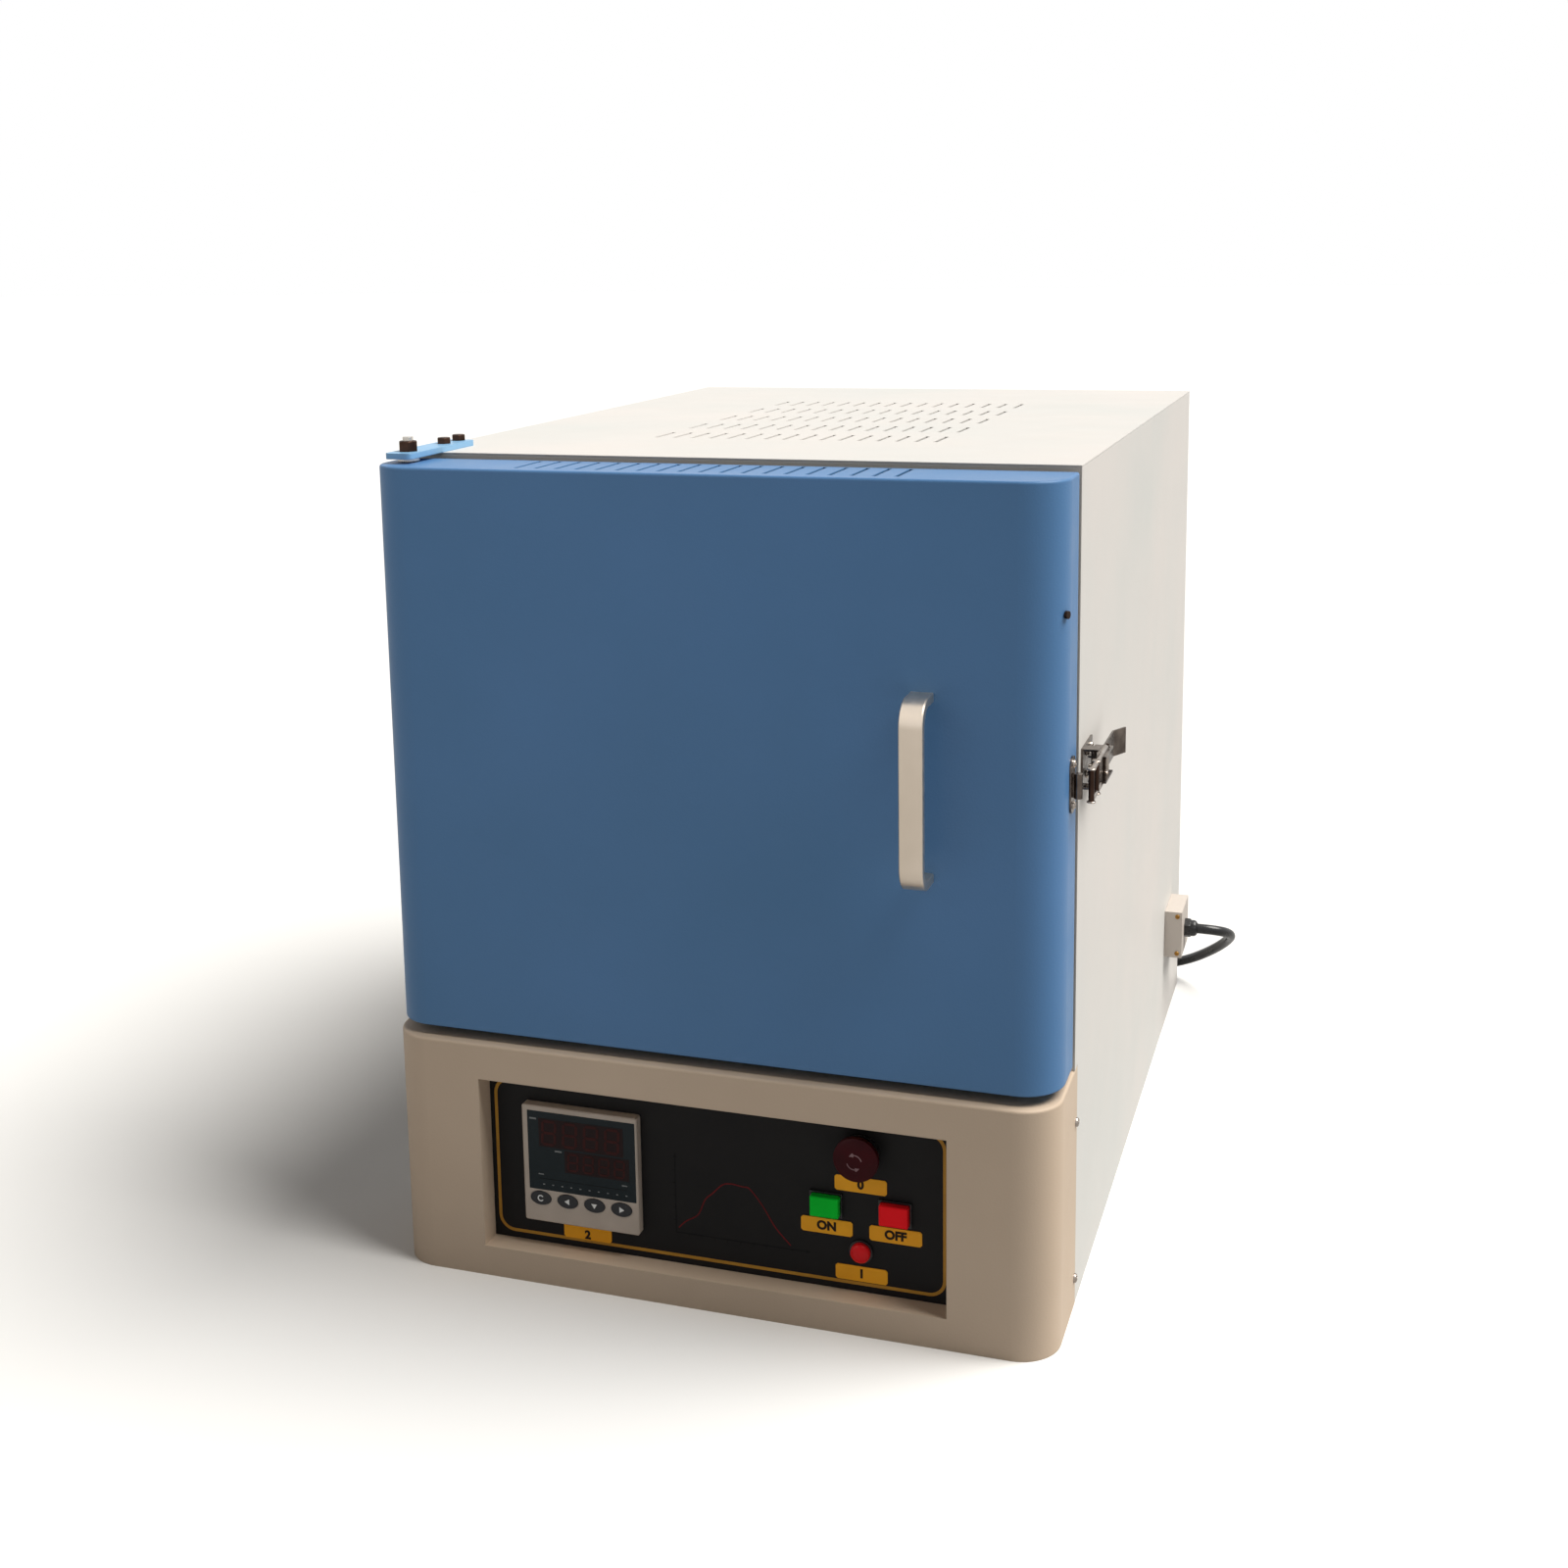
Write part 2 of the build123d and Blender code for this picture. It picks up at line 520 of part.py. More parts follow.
save(door_shell.part, "door_shell")

PLUG_W = CHAMBER_W - 2 * PLUG_CLEAR
PLUG_H = CHAMBER_H - 2 * PLUG_CLEAR
PACK_GAP = 14.0
PACK_LAP = 55.0  # how far the packing reaches past the plug on each side
PACK_BACK_Y = DOOR_BACK_Y - SHEET
with BuildPart() as door_back:
    box_between((-HALF_W + SHEET, HALF_W - SHEET), (PACK_BACK_Y, DOOR_BACK_Y),
                (DOOR_Z0 + SHEET, DOOR_Z1 - SHEET))
    box_between((-PLUG_W / 2, PLUG_W / 2), (PACK_BACK_Y, DOOR_BACK_Y),
                (CHAMBER_Z - PLUG_H / 2, CHAMBER_Z + PLUG_H / 2), mode=Mode.SUBTRACT)
save(door_back.part, "door_back")

with BuildPart() as door_insulation:
    pack_half = (PLUG_W / 2 + PACK_LAP, PLUG_H / 2 + PACK_LAP)
    box_between((-pack_half[0], pack_half[0]), (DOOR_Y + PACK_GAP, PACK_BACK_Y),
                (CHAMBER_Z - pack_half[1], CHAMBER_Z + pack_half[1]))
    box_between((-PLUG_W / 2, PLUG_W / 2), (PACK_BACK_Y, DOOR_BACK_Y),
                (CHAMBER_Z - PLUG_H / 2, CHAMBER_Z + PLUG_H / 2))
    with BuildSketch(Plane.XZ.offset(-DOOR_BACK_Y)):
        with Locations((0, CHAMBER_Z)):
            Rectangle(PLUG_W, PLUG_H)
    extrude(amount=-PLUG_REACH, taper=PLUG_TAPER)
save(door_insulation.part, "door_insulation")

GASKET_W = 25.0
GASKET_R = 14.0
with BuildPart() as door_gasket:
    with BuildSketch(Plane.XZ.offset(-DOOR_BACK_Y)):
        with Locations((0, CHAMBER_Z)):
            RectangleRounded(CHAMBER_W + 2 * GASKET_W, CHAMBER_H + 2 * GASKET_W, GASKET_R)
            Rectangle(CHAMBER_W, CHAMBER_H, mode=Mode.SUBTRACT)
    extrude(amount=-(SEAL_GAP - TOUCH))
save(door_gasket.part, "door_gasket")

HANDLE_INSET = 97.5
HANDLE_RISE = 2.0
HANDLE_X = HALF_W - HANDLE_INSET
HANDLE_L = 137.0
HANDLE_Z = CHAMBER_Z + HANDLE_RISE
HANDLE_Z0 = HANDLE_Z - HANDLE_L / 2
HANDLE_Z1 = HANDLE_Z + HANDLE_L / 2
HANDLE_W = 17.0
HANDLE_T = 7.0
HANDLE_OUT = 34.0
HANDLE_BEND = 19.0
HANDLE_EDGE = 0.8
HANDLE_SCREW_R = 2.5
HANDLE_SCREW_IN = 14.0
with BuildPart() as handle:
    grip_y = DOOR_Y - HANDLE_OUT
    with BuildSketch(Plane.YZ.offset(HANDLE_X - HANDLE_W / 2)):
        with BuildLine():
            FilletPolyline((DOOR_Y, HANDLE_Z0), (grip_y, HANDLE_Z0), (grip_y, HANDLE_Z1),
                           (DOOR_Y, HANDLE_Z1), radius=HANDLE_BEND)
            Line((DOOR_Y, HANDLE_Z1), (DOOR_Y, HANDLE_Z1 - HANDLE_T))
            FilletPolyline((DOOR_Y, HANDLE_Z1 - HANDLE_T), (grip_y + HANDLE_T, HANDLE_Z1 - HANDLE_T),
                           (grip_y + HANDLE_T, HANDLE_Z0 + HANDLE_T), (DOOR_Y, HANDLE_Z0 + HANDLE_T),
                           radius=HANDLE_BEND - HANDLE_T)
            Line((DOOR_Y, HANDLE_Z0 + HANDLE_T), (DOOR_Y, HANDLE_Z0))
        make_face()
    extrude(amount=HANDLE_W)
    chamfer(handle.faces().filter_by(Axis.X).edges(), HANDLE_EDGE)
    for z in (HANDLE_Z0 + HANDLE_T / 2, HANDLE_Z1 - HANDLE_T / 2):
        rod_y(HANDLE_X, z, DOOR_Y - HANDLE_SCREW_IN, DOOR_Y, HANDLE_SCREW_R, mode=Mode.SUBTRACT)
save(handle.part, "handle")

HANDLE_HEAD_R = 4.5
HANDLE_HEAD_T = 3.0
with BuildPart() as handle_screws:
    for z in (HANDLE_Z0 + HANDLE_T / 2, HANDLE_Z1 - HANDLE_T / 2):
        rod_y(HANDLE_X, z, DOOR_Y - HANDLE_SCREW_IN, DOOR_Y, HANDLE_SCREW_R)
        add(screw_head((HANDLE_X, DOOR_Y + SHEET, z), (0, 1, 0), HANDLE_HEAD_T, HANDLE_HEAD_R))
save(handle_screws.part, "handle_screws")

SIDE_PIN_R = 2.8
SIDE_PIN_H = 2.2
SIDE_PIN_DOWN = 93.0
SIDE_PIN_Z = DOOR_Z1 - SIDE_PIN_DOWN
SIDE_PIN_ANGLE = 20.0
with BuildPart() as door_side_pin:
    lean = math.radians(SIDE_PIN_ANGLE)
    outward = (math.cos(lean), -math.sin(lean), 0)
    foot = (HALF_W - CORNER_R + (CORNER_R + TOUCH) * outward[0],
            DOOR_Y + CORNER_R + (CORNER_R + TOUCH) * outward[1], SIDE_PIN_Z)
    with BuildSketch(Plane(foot, z_dir=outward)):
        Circle(SIDE_PIN_R)
    extrude(amount=SIDE_PIN_H)
save(door_side_pin.part, "door_side_pin")

# ---------------------------------------------------------------- hinge
BUSH_R = 9.0
BUSH_L = 30.0
with BuildPart() as hinge_bushes:
    for z0 in (DOOR_Z0 + SHEET, DOOR_Z1 - SHEET - BUSH_L):
        rod_z(HINGE_X, HINGE_Y, z0, z0 + BUSH_L, BUSH_R)
        rod_z(HINGE_X, HINGE_Y, z0, z0 + BUSH_L, PIVOT_R + TOUCH, mode=Mode.SUBTRACT)
save(hinge_bushes.part, "hinge_bushes")

with BuildPart() as hinge_bar:
    with BuildSketch(Plane.XY.offset(HEIGHT)):
        with Locations((HINGE_X, HINGE_Y - BAR_END + BAR_L / 2)):
            RectangleRounded(BAR_W, BAR_L, BAR_CORNER_R)
        with Locations((HINGE_X, HINGE_Y)):
            Circle(PIVOT_R, mode=Mode.SUBTRACT)
        for back in BAR_BOLTS:
            with Locations((HINGE_X, HINGE_Y + back)):
                Circle(BAR_BOLT_R, mode=Mode.SUBTRACT)
    extrude(amount=BAR_T)
save(hinge_bar.part, "hinge_bar")

BOLT_HEAD_R = 6.2
BOLT_HEAD_T = 6.0
BOLT_L = 14.5
NUT_R = 7.6
NUT_T = 8.0
with BuildPart() as hinge_bolts:
    head_z = HEIGHT + BAR_T
    for back in BAR_BOLTS:
        rod_z(HINGE_X, HINGE_Y + back, head_z - BOLT_L, head_z, BAR_BOLT_R)
        with BuildSketch(Plane.XY.offset(head_z)):
            with Locations((HINGE_X, HINGE_Y + back)):
                RegularPolygon(BOLT_HEAD_R, 6)
        extrude(amount=BOLT_HEAD_T)
    with BuildSketch(Plane.XY.offset(head_z)):
        with Locations((HINGE_X, HINGE_Y)):
            RegularPolygon(NUT_R, 6)
            Circle(PIVOT_R, mode=Mode.SUBTRACT)
    extrude(amount=NUT_T)
save(hinge_bolts.part, "hinge_bolts")

STUD_UP = 11.0
PIN_DEPTH = 24.0
PIN_UNDER = 14.0
with BuildPart() as hinge_pivots:
    rod_z(HINGE_X, HINGE_Y, DOOR_Z1 - PIN_DEPTH, HEIGHT + BAR_T + STUD_UP, PIVOT_R)
    rod_z(HINGE_X, HINGE_Y, BASE_H - PIN_UNDER, DOOR_Z0 + PIN_DEPTH, PIVOT_R)
save(hinge_pivots.part, "hinge_pivots")

WASHER_R = 8.5
WASHER_T = 2.6
WASHER_GAP = 0.4
with BuildPart() as hinge_washers:
    for z0, thick in ((HEIGHT - WASHER_T, WASHER_T), (BASE_H, DOOR_GAP - WASHER_GAP)):
        rod_z(HINGE_X, HINGE_Y, z0, z0 + thick, WASHER_R)
        rod_z(HINGE_X, HINGE_Y, z0, z0 + thick, PIVOT_R, mode=Mode.SUBTRACT)
save(hinge_washers.part, "hinge_washers")

# ---------------------------------------------------------------- side latch
LATCH_UP = 0.5
LATCH_Z = CHAMBER_Z + LATCH_UP
KEEPER_BACK = 41.0
KEEPER_Y = DOOR_Y + KEEPER_BACK
KEEPER_W = 18.0
KEEPER_H = 41.0
KEEPER_CORNER_R = 8.0
KEEPER_T = 1.5
HOOK_R = 3.0
HOOK_H = 18.0
HOOK_X = 5.5
HOOK_BACK = 38.0
HOOK_WEB_IN = 1.0
HOOK_Y = DOOR_Y + HOOK_BACK
with BuildPart() as latch_keeper:
    with BuildSketch(Plane.YZ.offset(HALF_W)):
        with Locations((KEEPER_Y, LATCH_Z)):
            RectangleRounded(KEEPER_W, KEEPER_H, KEEPER_CORNER_R)
    extrude(amount=KEEPER_T)
    rod_z(HALF_W + HOOK_X, HOOK_Y, LATCH_Z - HOOK_H / 2, LATCH_Z + HOOK_H / 2, HOOK_R)
    box_between((HALF_W, HALF_W + HOOK_X), (HOOK_Y + HOOK_WEB_IN, HOOK_Y + HOOK_WEB_IN + KEEPER_T),
                (LATCH_Z - HOOK_H / 2, LATCH_Z + HOOK_H / 2))
save(latch_keeper.part, "latch_keeper")

SCREW_HEAD_R = 3.0
SCREW_HEAD_H = 1.8
KEEPER_SCREW_PITCH = 30.0
with BuildPart() as keeper_screws:
    for side in (-1, 1):
        foot = (HALF_W + KEEPER_T, KEEPER_Y, LATCH_Z + side * KEEPER_SCREW_PITCH / 2)
        add(screw_head(foot, (1, 0, 0), SCREW_HEAD_H, SCREW_HEAD_R))
save(keeper_screws.part, "keeper_screws")

LATCH_OUT = 8.5
LATCH_BACK = 88.0
LATCH_X = HALF_W + LATCH_OUT
LATCH_Y = DOOR_Y + LATCH_BACK
LATCH_PIN_R = 2.0
LATCH_HOLE_R = LATCH_PIN_R + TOUCH
LATCH_T = 1.5
BASE_W = 30.0
BASE_L = 44.0
EAR_L = 12.0
EAR_X = 6.0
LEVER_W = 20.0
LINK_SIDE_GAP = 1.0
LINK_W = LEVER_W + 2 * (LATCH_T + LINK_SIDE_GAP)
with BuildPart() as latch_base:
    plate_y = (LATCH_Y - EAR_L / 2, LATCH_Y - EAR_L / 2 + BASE_L)
    box_between((HALF_W, HALF_W + LATCH_T), plate_y, (LATCH_Z - BASE_W / 2, LATCH_Z + BASE_W / 2))
    for side in (-1, 1):
        z_out = LATCH_Z + side * BASE_W / 2
        box_between((HALF_W, LATCH_X + EAR_X - LATCH_PIN_R), (LATCH_Y - EAR_L / 2, LATCH_Y + EAR_L / 2),
                    sorted((z_out, z_out - side * LATCH_T)))
    rod_z(LATCH_X, LATCH_Y, LATCH_Z - BASE_W / 2, LATCH_Z + BASE_W / 2, LATCH_PIN_R)
save(latch_base.part, "latch_base")

BASE_SCREW_YS = (LATCH_Y + 13.0, LATCH_Y + 31.0)
BASE_SCREW_DZ = 8.5
with BuildPart() as latch_screws:
    for y in BASE_SCREW_YS:
        for side in (-1, 1):
            foot = (HALF_W + LATCH_T, y, LATCH_Z + side * BASE_SCREW_DZ)
            add(screw_head(foot, (1, 0, 0), SCREW_HEAD_H, SCREW_HEAD_R))
save(latch_screws.part, "latch_screws")

LEVER_L = 87.0
LEVER_OUT = 2.4
LEVER_START = 4.0
LEVER_FLARE = 7.0
LEVER_FLARE_L = 14.0
LINK_PIN_OUT = 6.2
LINK_PIN_BACK = 24.0
LINK_PIN_R = 1.7
CHEEK_AHEAD = 4.5
CHEEK_BEHIND = 5.0
CHEEK_IN = 3.6
CHEEK_OUT = 3.4
LEVER_X = (LATCH_X + LEVER_OUT, LATCH_X + LEVER_OUT + LATCH_T)
LINK_PIN_X = LATCH_X + LINK_PIN_OUT
LINK_PIN_Y = LATCH_Y + LINK_PIN_BACK
CHEEK_Y = (LATCH_Y - CHEEK_AHEAD, LINK_PIN_Y + CHEEK_BEHIND)
CHEEK_X = (LATCH_X - CHEEK_IN, LINK_PIN_X + CHEEK_OUT)
with BuildPart() as latch_lever:
    with BuildSketch(Plane.XY.offset(LATCH_Z - LEVER_W / 2)):
        tip_y = LATCH_Y + LEVER_L
        with BuildLine():
            Polyline((LEVER_X[0], LATCH_Y + LEVER_START), (LEVER_X[1], LATCH_Y + LEVER_START),
                     (LEVER_X[1], tip_y - LEVER_FLARE_L), (LEVER_X[1] + LEVER_FLARE, tip_y),
                     (LEVER_X[0] + LEVER_FLARE, tip_y), (LEVER_X[0], tip_y - LEVER_FLARE_L),
                     close=True)
        make_face()
    extrude(amount=LEVER_W)
    for side in (-1, 1):
        z_out = LATCH_Z + side * LEVER_W / 2
        box_between(CHEEK_X, CHEEK_Y, sorted((z_out, z_out - side * LATCH_T)))
        cheek_z = min(z_out, z_out - side * LATCH_T)
        rod_z(LATCH_X, LATCH_Y, cheek_z, cheek_z + LATCH_T, LATCH_HOLE_R, mode=Mode.SUBTRACT)
        rod_z(LINK_PIN_X, LINK_PIN_Y, cheek_z, cheek_z + LATCH_T, LINK_PIN_R + TOUCH,
              mode=Mode.SUBTRACT)
save(latch_lever.part, "latch_lever")

LINK_L = 70.0
LINK_ARM_H = 5.0
LINK_BAR_R = 2.5
LINK_MID = 48.0
LINK_ARM_IN = 0.7  # how far the arms' middle lies inside the link's pin
LINK_X = LINK_PIN_X - LINK_ARM_IN
with BuildPart() as latch_link:
    for side in (-1, 1):
        z_out = LATCH_Z + side * LINK_W / 2
        box_between((LINK_X - LINK_ARM_H / 2, LINK_X + LINK_ARM_H / 2),
                    (LINK_PIN_Y - LINK_L, LINK_PIN_Y + LINK_ARM_H / 2),
                    sorted((z_out, z_out - side * LATCH_T)))
    rod_z(LINK_PIN_X, LINK_PIN_Y, LATCH_Z - LINK_W / 2, LATCH_Z + LINK_W / 2, LINK_PIN_R)
    for along in (LINK_MID, LINK_L):
        rod_z(LINK_X, LINK_PIN_Y - along, LATCH_Z - LINK_W / 2, LATCH_Z + LINK_W / 2, LINK_BAR_R)
save(latch_link.part, "latch_link")

# ---------------------------------------------------------------- mains inlet and cord
TERMINAL_IN = 70.0  # from the casing's back to the terminal box
TERMINAL_L = 57.0
TERMINAL_Y = (BACK_Y - TERMINAL_IN - TERMINAL_L, BACK_Y - TERMINAL_IN)
TERMINAL_Z = (76.7, 124.5)
TERMINAL_D = 15.7
LID_T = 1.5
LID_X = HALF_W + TERMINAL_D
with BuildPart() as terminal_box:
    box_between((HALF_W, HALF_W + TERMINAL_D), TERMINAL_Y, TERMINAL_Z)
    box_between((HALF_W + SHEET, HALF_W + TERMINAL_D),
                (TERMINAL_Y[0] + SHEET, TERMINAL_Y[1] - SHEET),
                (TERMINAL_Z[0] + SHEET, TERMINAL_Z[1] - SHEET), mode=Mode.SUBTRACT)
    box_between((LID_X, LID_X + LID_T), TERMINAL_Y, TERMINAL_Z)
save(terminal_box.part, "terminal_box")

GLAND_BACK = 30.0
GLAND_UP = 22.3
GLAND_Y = TERMINAL_Y[0] + GLAND_BACK
GLAND_Z = TERMINAL_Z[0] + GLAND_UP
CORD_R = 5.0
CORD_SIDES = 8
GLAND_R = 10.0
LID_SCREW_IN = 4.5
LID_SCREW_R = 2.4
LID_SCREW_H = 1.2
with BuildPart() as terminal_screws:
    x = LID_X - LID_SCREW_IN + LID_T
    for z in (TERMINAL_Z[0] + LID_SCREW_IN, TERMINAL_Z[1] - LID_SCREW_IN):
        add(screw_head((x, TERMINAL_Y[0], z), (0, -1, 0), LID_SCREW_H, LID_SCREW_R))
        add(screw_head((x, TERMINAL_Y[1], z), (0, 1, 0), LID_SCREW_H, LID_SCREW_R))
save(terminal_screws.part, "terminal_screws")

GLAND_NUT_L = 6.0
GLAND_CAP_L = 7.0
GLAND_CAP_SHARE = 0.82  # the cap's radius as a share of the nut's
GLAND_EDGE = 2.0
GLAND_END_X = LID_X + LID_T + GLAND_NUT_L + GLAND_CAP_L
with BuildPart() as cable_gland:
    x0 = LID_X + LID_T
    with BuildSketch(Plane.YZ.offset(x0)):
        with Locations((GLAND_Y, GLAND_Z)):
            RegularPolygon(GLAND_R, 6)
    extrude(amount=GLAND_NUT_L)
    rod_x(GLAND_Y, GLAND_Z, x0 + GLAND_NUT_L, GLAND_END_X, GLAND_R * GLAND_CAP_SHARE)
    chamfer(cable_gland.faces().sort_by(Axis.X)[-1].edges(), GLAND_EDGE)
save(cable_gland.part, "cable_gland")

COIL_X = 60.0
COIL_Y = 470.0
COIL_MEAN_R = 57.5
COIL_SLACK = 0.3
TIE_T = 1.2
TIE_W = 10.0
TIE_GAP = 0.3
COIL_LIFT = COIL_SLACK + TIE_GAP + TIE_T
COIL_SECTION = 4 * CORD_R + 2 * COIL_SLACK
COIL_EDGE_SHARE = 0.45
TAIL_L = 41.0
near_y = COIL_Y - COIL_MEAN_R - CORD_R
far_y = COIL_Y + COIL_MEAN_R + CORD_R
low_z = COIL_LIFT + CORD_R
high_z = COIL_LIFT + 3 * CORD_R
CORD_ROUTE = [
    (GLAND_END_X, GLAND_Y, GLAND_Z),
    (309.0, GLAND_Y, GLAND_Z),
    (323.0, 305.0, 90.0),
    (322.0, 335.0, 74.0),
    (303.0, 368.0, 48.0),
    (272.0, 396.0, 22.0),
    (237.0, 412.0, 7.0),
    (201.0, 417.0, 5.0),
    (163.0, 413.0, 5.2),
    (128.0, near_y, low_z),
    (COIL_X + TAIL_L, near_y, low_z),
]


def fillet_radii(points):
    """One radius for each corner: 0.45 of the shorter run over the tangent of half the turn."""
    radii = []
    for a, b, c in zip(points, points[1:], points[2:]):
        before = Vector(*b) - Vector(*a)
        after = Vector(*c) - Vector(*b)
        half_turn = math.radians(before.get_angle(after)) / 2
        radii.append(0.45 * min(before.length, after.length) / math.tan(half_turn))
    return radii


cord_radii = fillet_radii(CORD_ROUTE)
with BuildPart() as mains_cord:
    with BuildLine() as cord_path:
        FilletPolyline(*CORD_ROUTE, radius=cord_radii)
    with BuildSketch(Plane(cord_path.line @ 0, z_dir=cord_path.line % 0)) as cord_section:
        RegularPolygon(CORD_R, CORD_SIDES)
    sweep(path=cord_path.line)
save(mains_cord.part, "mains_cord")
cord_length = cord_path.wire().length
ratio = mains_cord.part.volume / (cord_section.sketch.area * cord_length)
print("cord radii", [round(r, 1) for r in cord_radii])
print("cord length", round(cord_length, 1), "volume over section times length", round(ratio, 4))

with BuildPart() as cord_coil:
    with BuildSketch(Plane.XZ.offset(-COIL_Y)):
        with Locations((COIL_X + COIL_MEAN_R, COIL_LIFT + 2 * CORD_R)):
            Rectangle(COIL_SECTION, COIL_SECTION)
        chamfer(vertices(), CORD_R * COIL_EDGE_SHARE)
    revolve(axis=Axis((COIL_X, COIL_Y, 0), (0, 0, 1)))
    rod_x(near_y, low_z, COIL_X, COIL_X + TAIL_L, CORD_R)
    rod_x(far_y, high_z, COIL_X, COIL_X + TAIL_L, CORD_R)
save(cord_coil.part, "cord_coil")

with BuildPart() as cord_tie:
    inner = COIL_SECTION + 2 * TIE_GAP
    with BuildSketch(Plane.XZ.offset(-COIL_Y - TIE_W / 2)):
        with Locations((COIL_X - COIL_MEAN_R, COIL_LIFT + 2 * CORD_R)):
            RectangleRounded(inner + 2 * TIE_T, inner + 2 * TIE_T, CORD_R)
            RectangleRounded(inner, inner, CORD_R - TIE_T, mode=Mode.SUBTRACT)
    extrude(amount=TIE_W)
save(cord_tie.part, "cord_tie")

RELIEF_R = 7.5
RELIEF_L = 24.0
PLUG_BODY_L = 36.0
PLUG_NECK_L = 12.0
PLUG_SHOULDER = 6.0
PLUG_EDGE = 4.0
PLUG_HALF_H = high_z - TIE_GAP
PLUG_HALF_W = 17.0
plug_x = COIL_X + TAIL_L
plug_neck_x = plug_x + RELIEF_L
plug_face_x = plug_neck_x + PLUG_BODY_L
with BuildPart() as mains_plug:
    with BuildSketch(Plane.XZ.offset(-far_y - PLUG_HALF_W)):
        with BuildLine():
            half_profile = [(plug_neck_x, PLUG_HALF_H - PLUG_SHOULDER),
                            (plug_neck_x + PLUG_NECK_L, PLUG_HALF_H), (plug_face_x, PLUG_HALF_H)]
            Polyline(*[(x, high_z + h) for x, h in half_profile],
                     *[(x, high_z - h) for x, h in reversed(half_profile)], close=True)
        make_face()
    extrude(amount=2 * PLUG_HALF_W)
    chamfer(mains_plug.faces().filter_by(Axis.Y).edges(), PLUG_EDGE)
    rod_x(far_y, high_z, plug_x, plug_neck_x, RELIEF_R)
save(mains_plug.part, "mains_plug")

PIN_L = 19.0
PIN_W = 6.4
PIN_T = 1.6
PIN_OFFSET = 7.0
PIN_RISE = 3.0
EARTH_PIN_DROP = 8.0
PIN_LEAN = 30.0
with BuildPart() as plug_pins:
    spots = ((-PIN_OFFSET, PIN_RISE, PIN_LEAN), (PIN_OFFSET, PIN_RISE, -PIN_LEAN),
             (0, -EARTH_PIN_DROP, 0))
    with BuildSketch(Plane.YZ.offset(plug_face_x)):
        for dy, dz, lean in spots:
            with Locations((far_y + dy, high_z + dz)):
                Rectangle(PIN_T, PIN_W, rotation=lean)
    extrude(amount=PIN_L)
save(plug_pins.part, "plug_pins")

print("nodes", len([f for f in os.listdir("parts") if f.endswith(".step")]))
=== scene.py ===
"""The looks of a bench-top muffle furnace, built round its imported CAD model. Units are metres.

Each new piece is a grid of points that a formula gives. The formula stands in the docstring of the
function that works it out. Everything is in the frame of the CAD model: X right, Y back, Z up.
"""

import math

import bmesh
import bpy
import numpy as np
from mathutils import Matrix, Vector


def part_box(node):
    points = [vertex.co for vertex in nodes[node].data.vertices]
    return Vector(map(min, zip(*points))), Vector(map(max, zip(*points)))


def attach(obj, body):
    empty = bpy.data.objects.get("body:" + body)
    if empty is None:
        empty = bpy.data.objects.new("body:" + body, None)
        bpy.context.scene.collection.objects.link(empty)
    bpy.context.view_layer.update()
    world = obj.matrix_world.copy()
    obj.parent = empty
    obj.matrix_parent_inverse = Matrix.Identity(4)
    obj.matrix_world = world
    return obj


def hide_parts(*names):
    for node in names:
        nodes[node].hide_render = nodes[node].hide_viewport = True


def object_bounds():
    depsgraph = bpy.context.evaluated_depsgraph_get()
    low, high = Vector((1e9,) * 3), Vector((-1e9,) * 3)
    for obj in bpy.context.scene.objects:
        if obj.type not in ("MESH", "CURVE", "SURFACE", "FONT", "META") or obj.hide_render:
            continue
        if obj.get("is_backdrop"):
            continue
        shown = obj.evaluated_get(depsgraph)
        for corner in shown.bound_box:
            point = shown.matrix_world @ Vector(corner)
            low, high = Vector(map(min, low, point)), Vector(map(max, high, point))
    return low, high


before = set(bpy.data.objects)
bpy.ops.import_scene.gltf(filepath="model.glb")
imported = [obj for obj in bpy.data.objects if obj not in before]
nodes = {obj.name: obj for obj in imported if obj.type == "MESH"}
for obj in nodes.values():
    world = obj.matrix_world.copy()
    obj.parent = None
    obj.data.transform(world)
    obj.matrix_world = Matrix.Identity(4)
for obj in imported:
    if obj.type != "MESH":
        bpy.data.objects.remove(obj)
cad_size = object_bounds()
MM = 0.001
TIP = 0.02 * MM          # the radius at which a turned form is closed with a flat point
UP, FRONT, RIGHT = (0, 0, 1), (0, -1, 0), (1, 0, 0)


# ---------------------------------------------------------------- places read from the frame
def low(name):
    """The lowest corner of a CAD node's box."""
    return np.array(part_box(name)[0])


def high(name):
    """The highest corner of a CAD node's box."""
    return np.array(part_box(name)[1])


def middle(name):
    """The centre of a CAD node's box."""
    return (low(name) + high(name)) / 2


# ---------------------------------------------------------------- materials
def linear(hex_colour):
    """An sRGB hex colour as linear RGBA."""
    parts = [int(hex_colour[i:i + 2], 16) / 255 for i in (1, 3, 5)]
    return [c / 12.92 if c <= 0.04045 else ((c + 0.055) / 1.055) ** 2.4 for c in parts] + [1.0]


def add_node(tree, kind, inputs=None, **settings):
    """Adds a shader node, sets its properties, and sets or links its inputs by name or number."""
    node = tree.nodes.new("ShaderNode" + kind)
    for key, value in settings.items():
        setattr(node, key, value)
    for key, value in (inputs or {}).items():
        if isinstance(value, bpy.types.NodeSocket):
            tree.links.new(value, node.inputs[key])
        else:
            node.inputs[key].default_value = value
    return node


def surface(name, colour, rough, **sockets):
    """A principled material with constant values on its sockets, with its tree and its shader."""
    mat = bpy.data.materials.new(name)
    mat.use_nodes = True
    shader = mat.node_tree.nodes["Principled BSDF"]
    shader.inputs["Base Color"].default_value = linear(colour)
    shader.inputs["Roughness"].default_value = rough
    for key, value in sockets.items():
        shader.inputs[key.replace("_", " ")].default_value = value
    return mat, mat.node_tree, shader


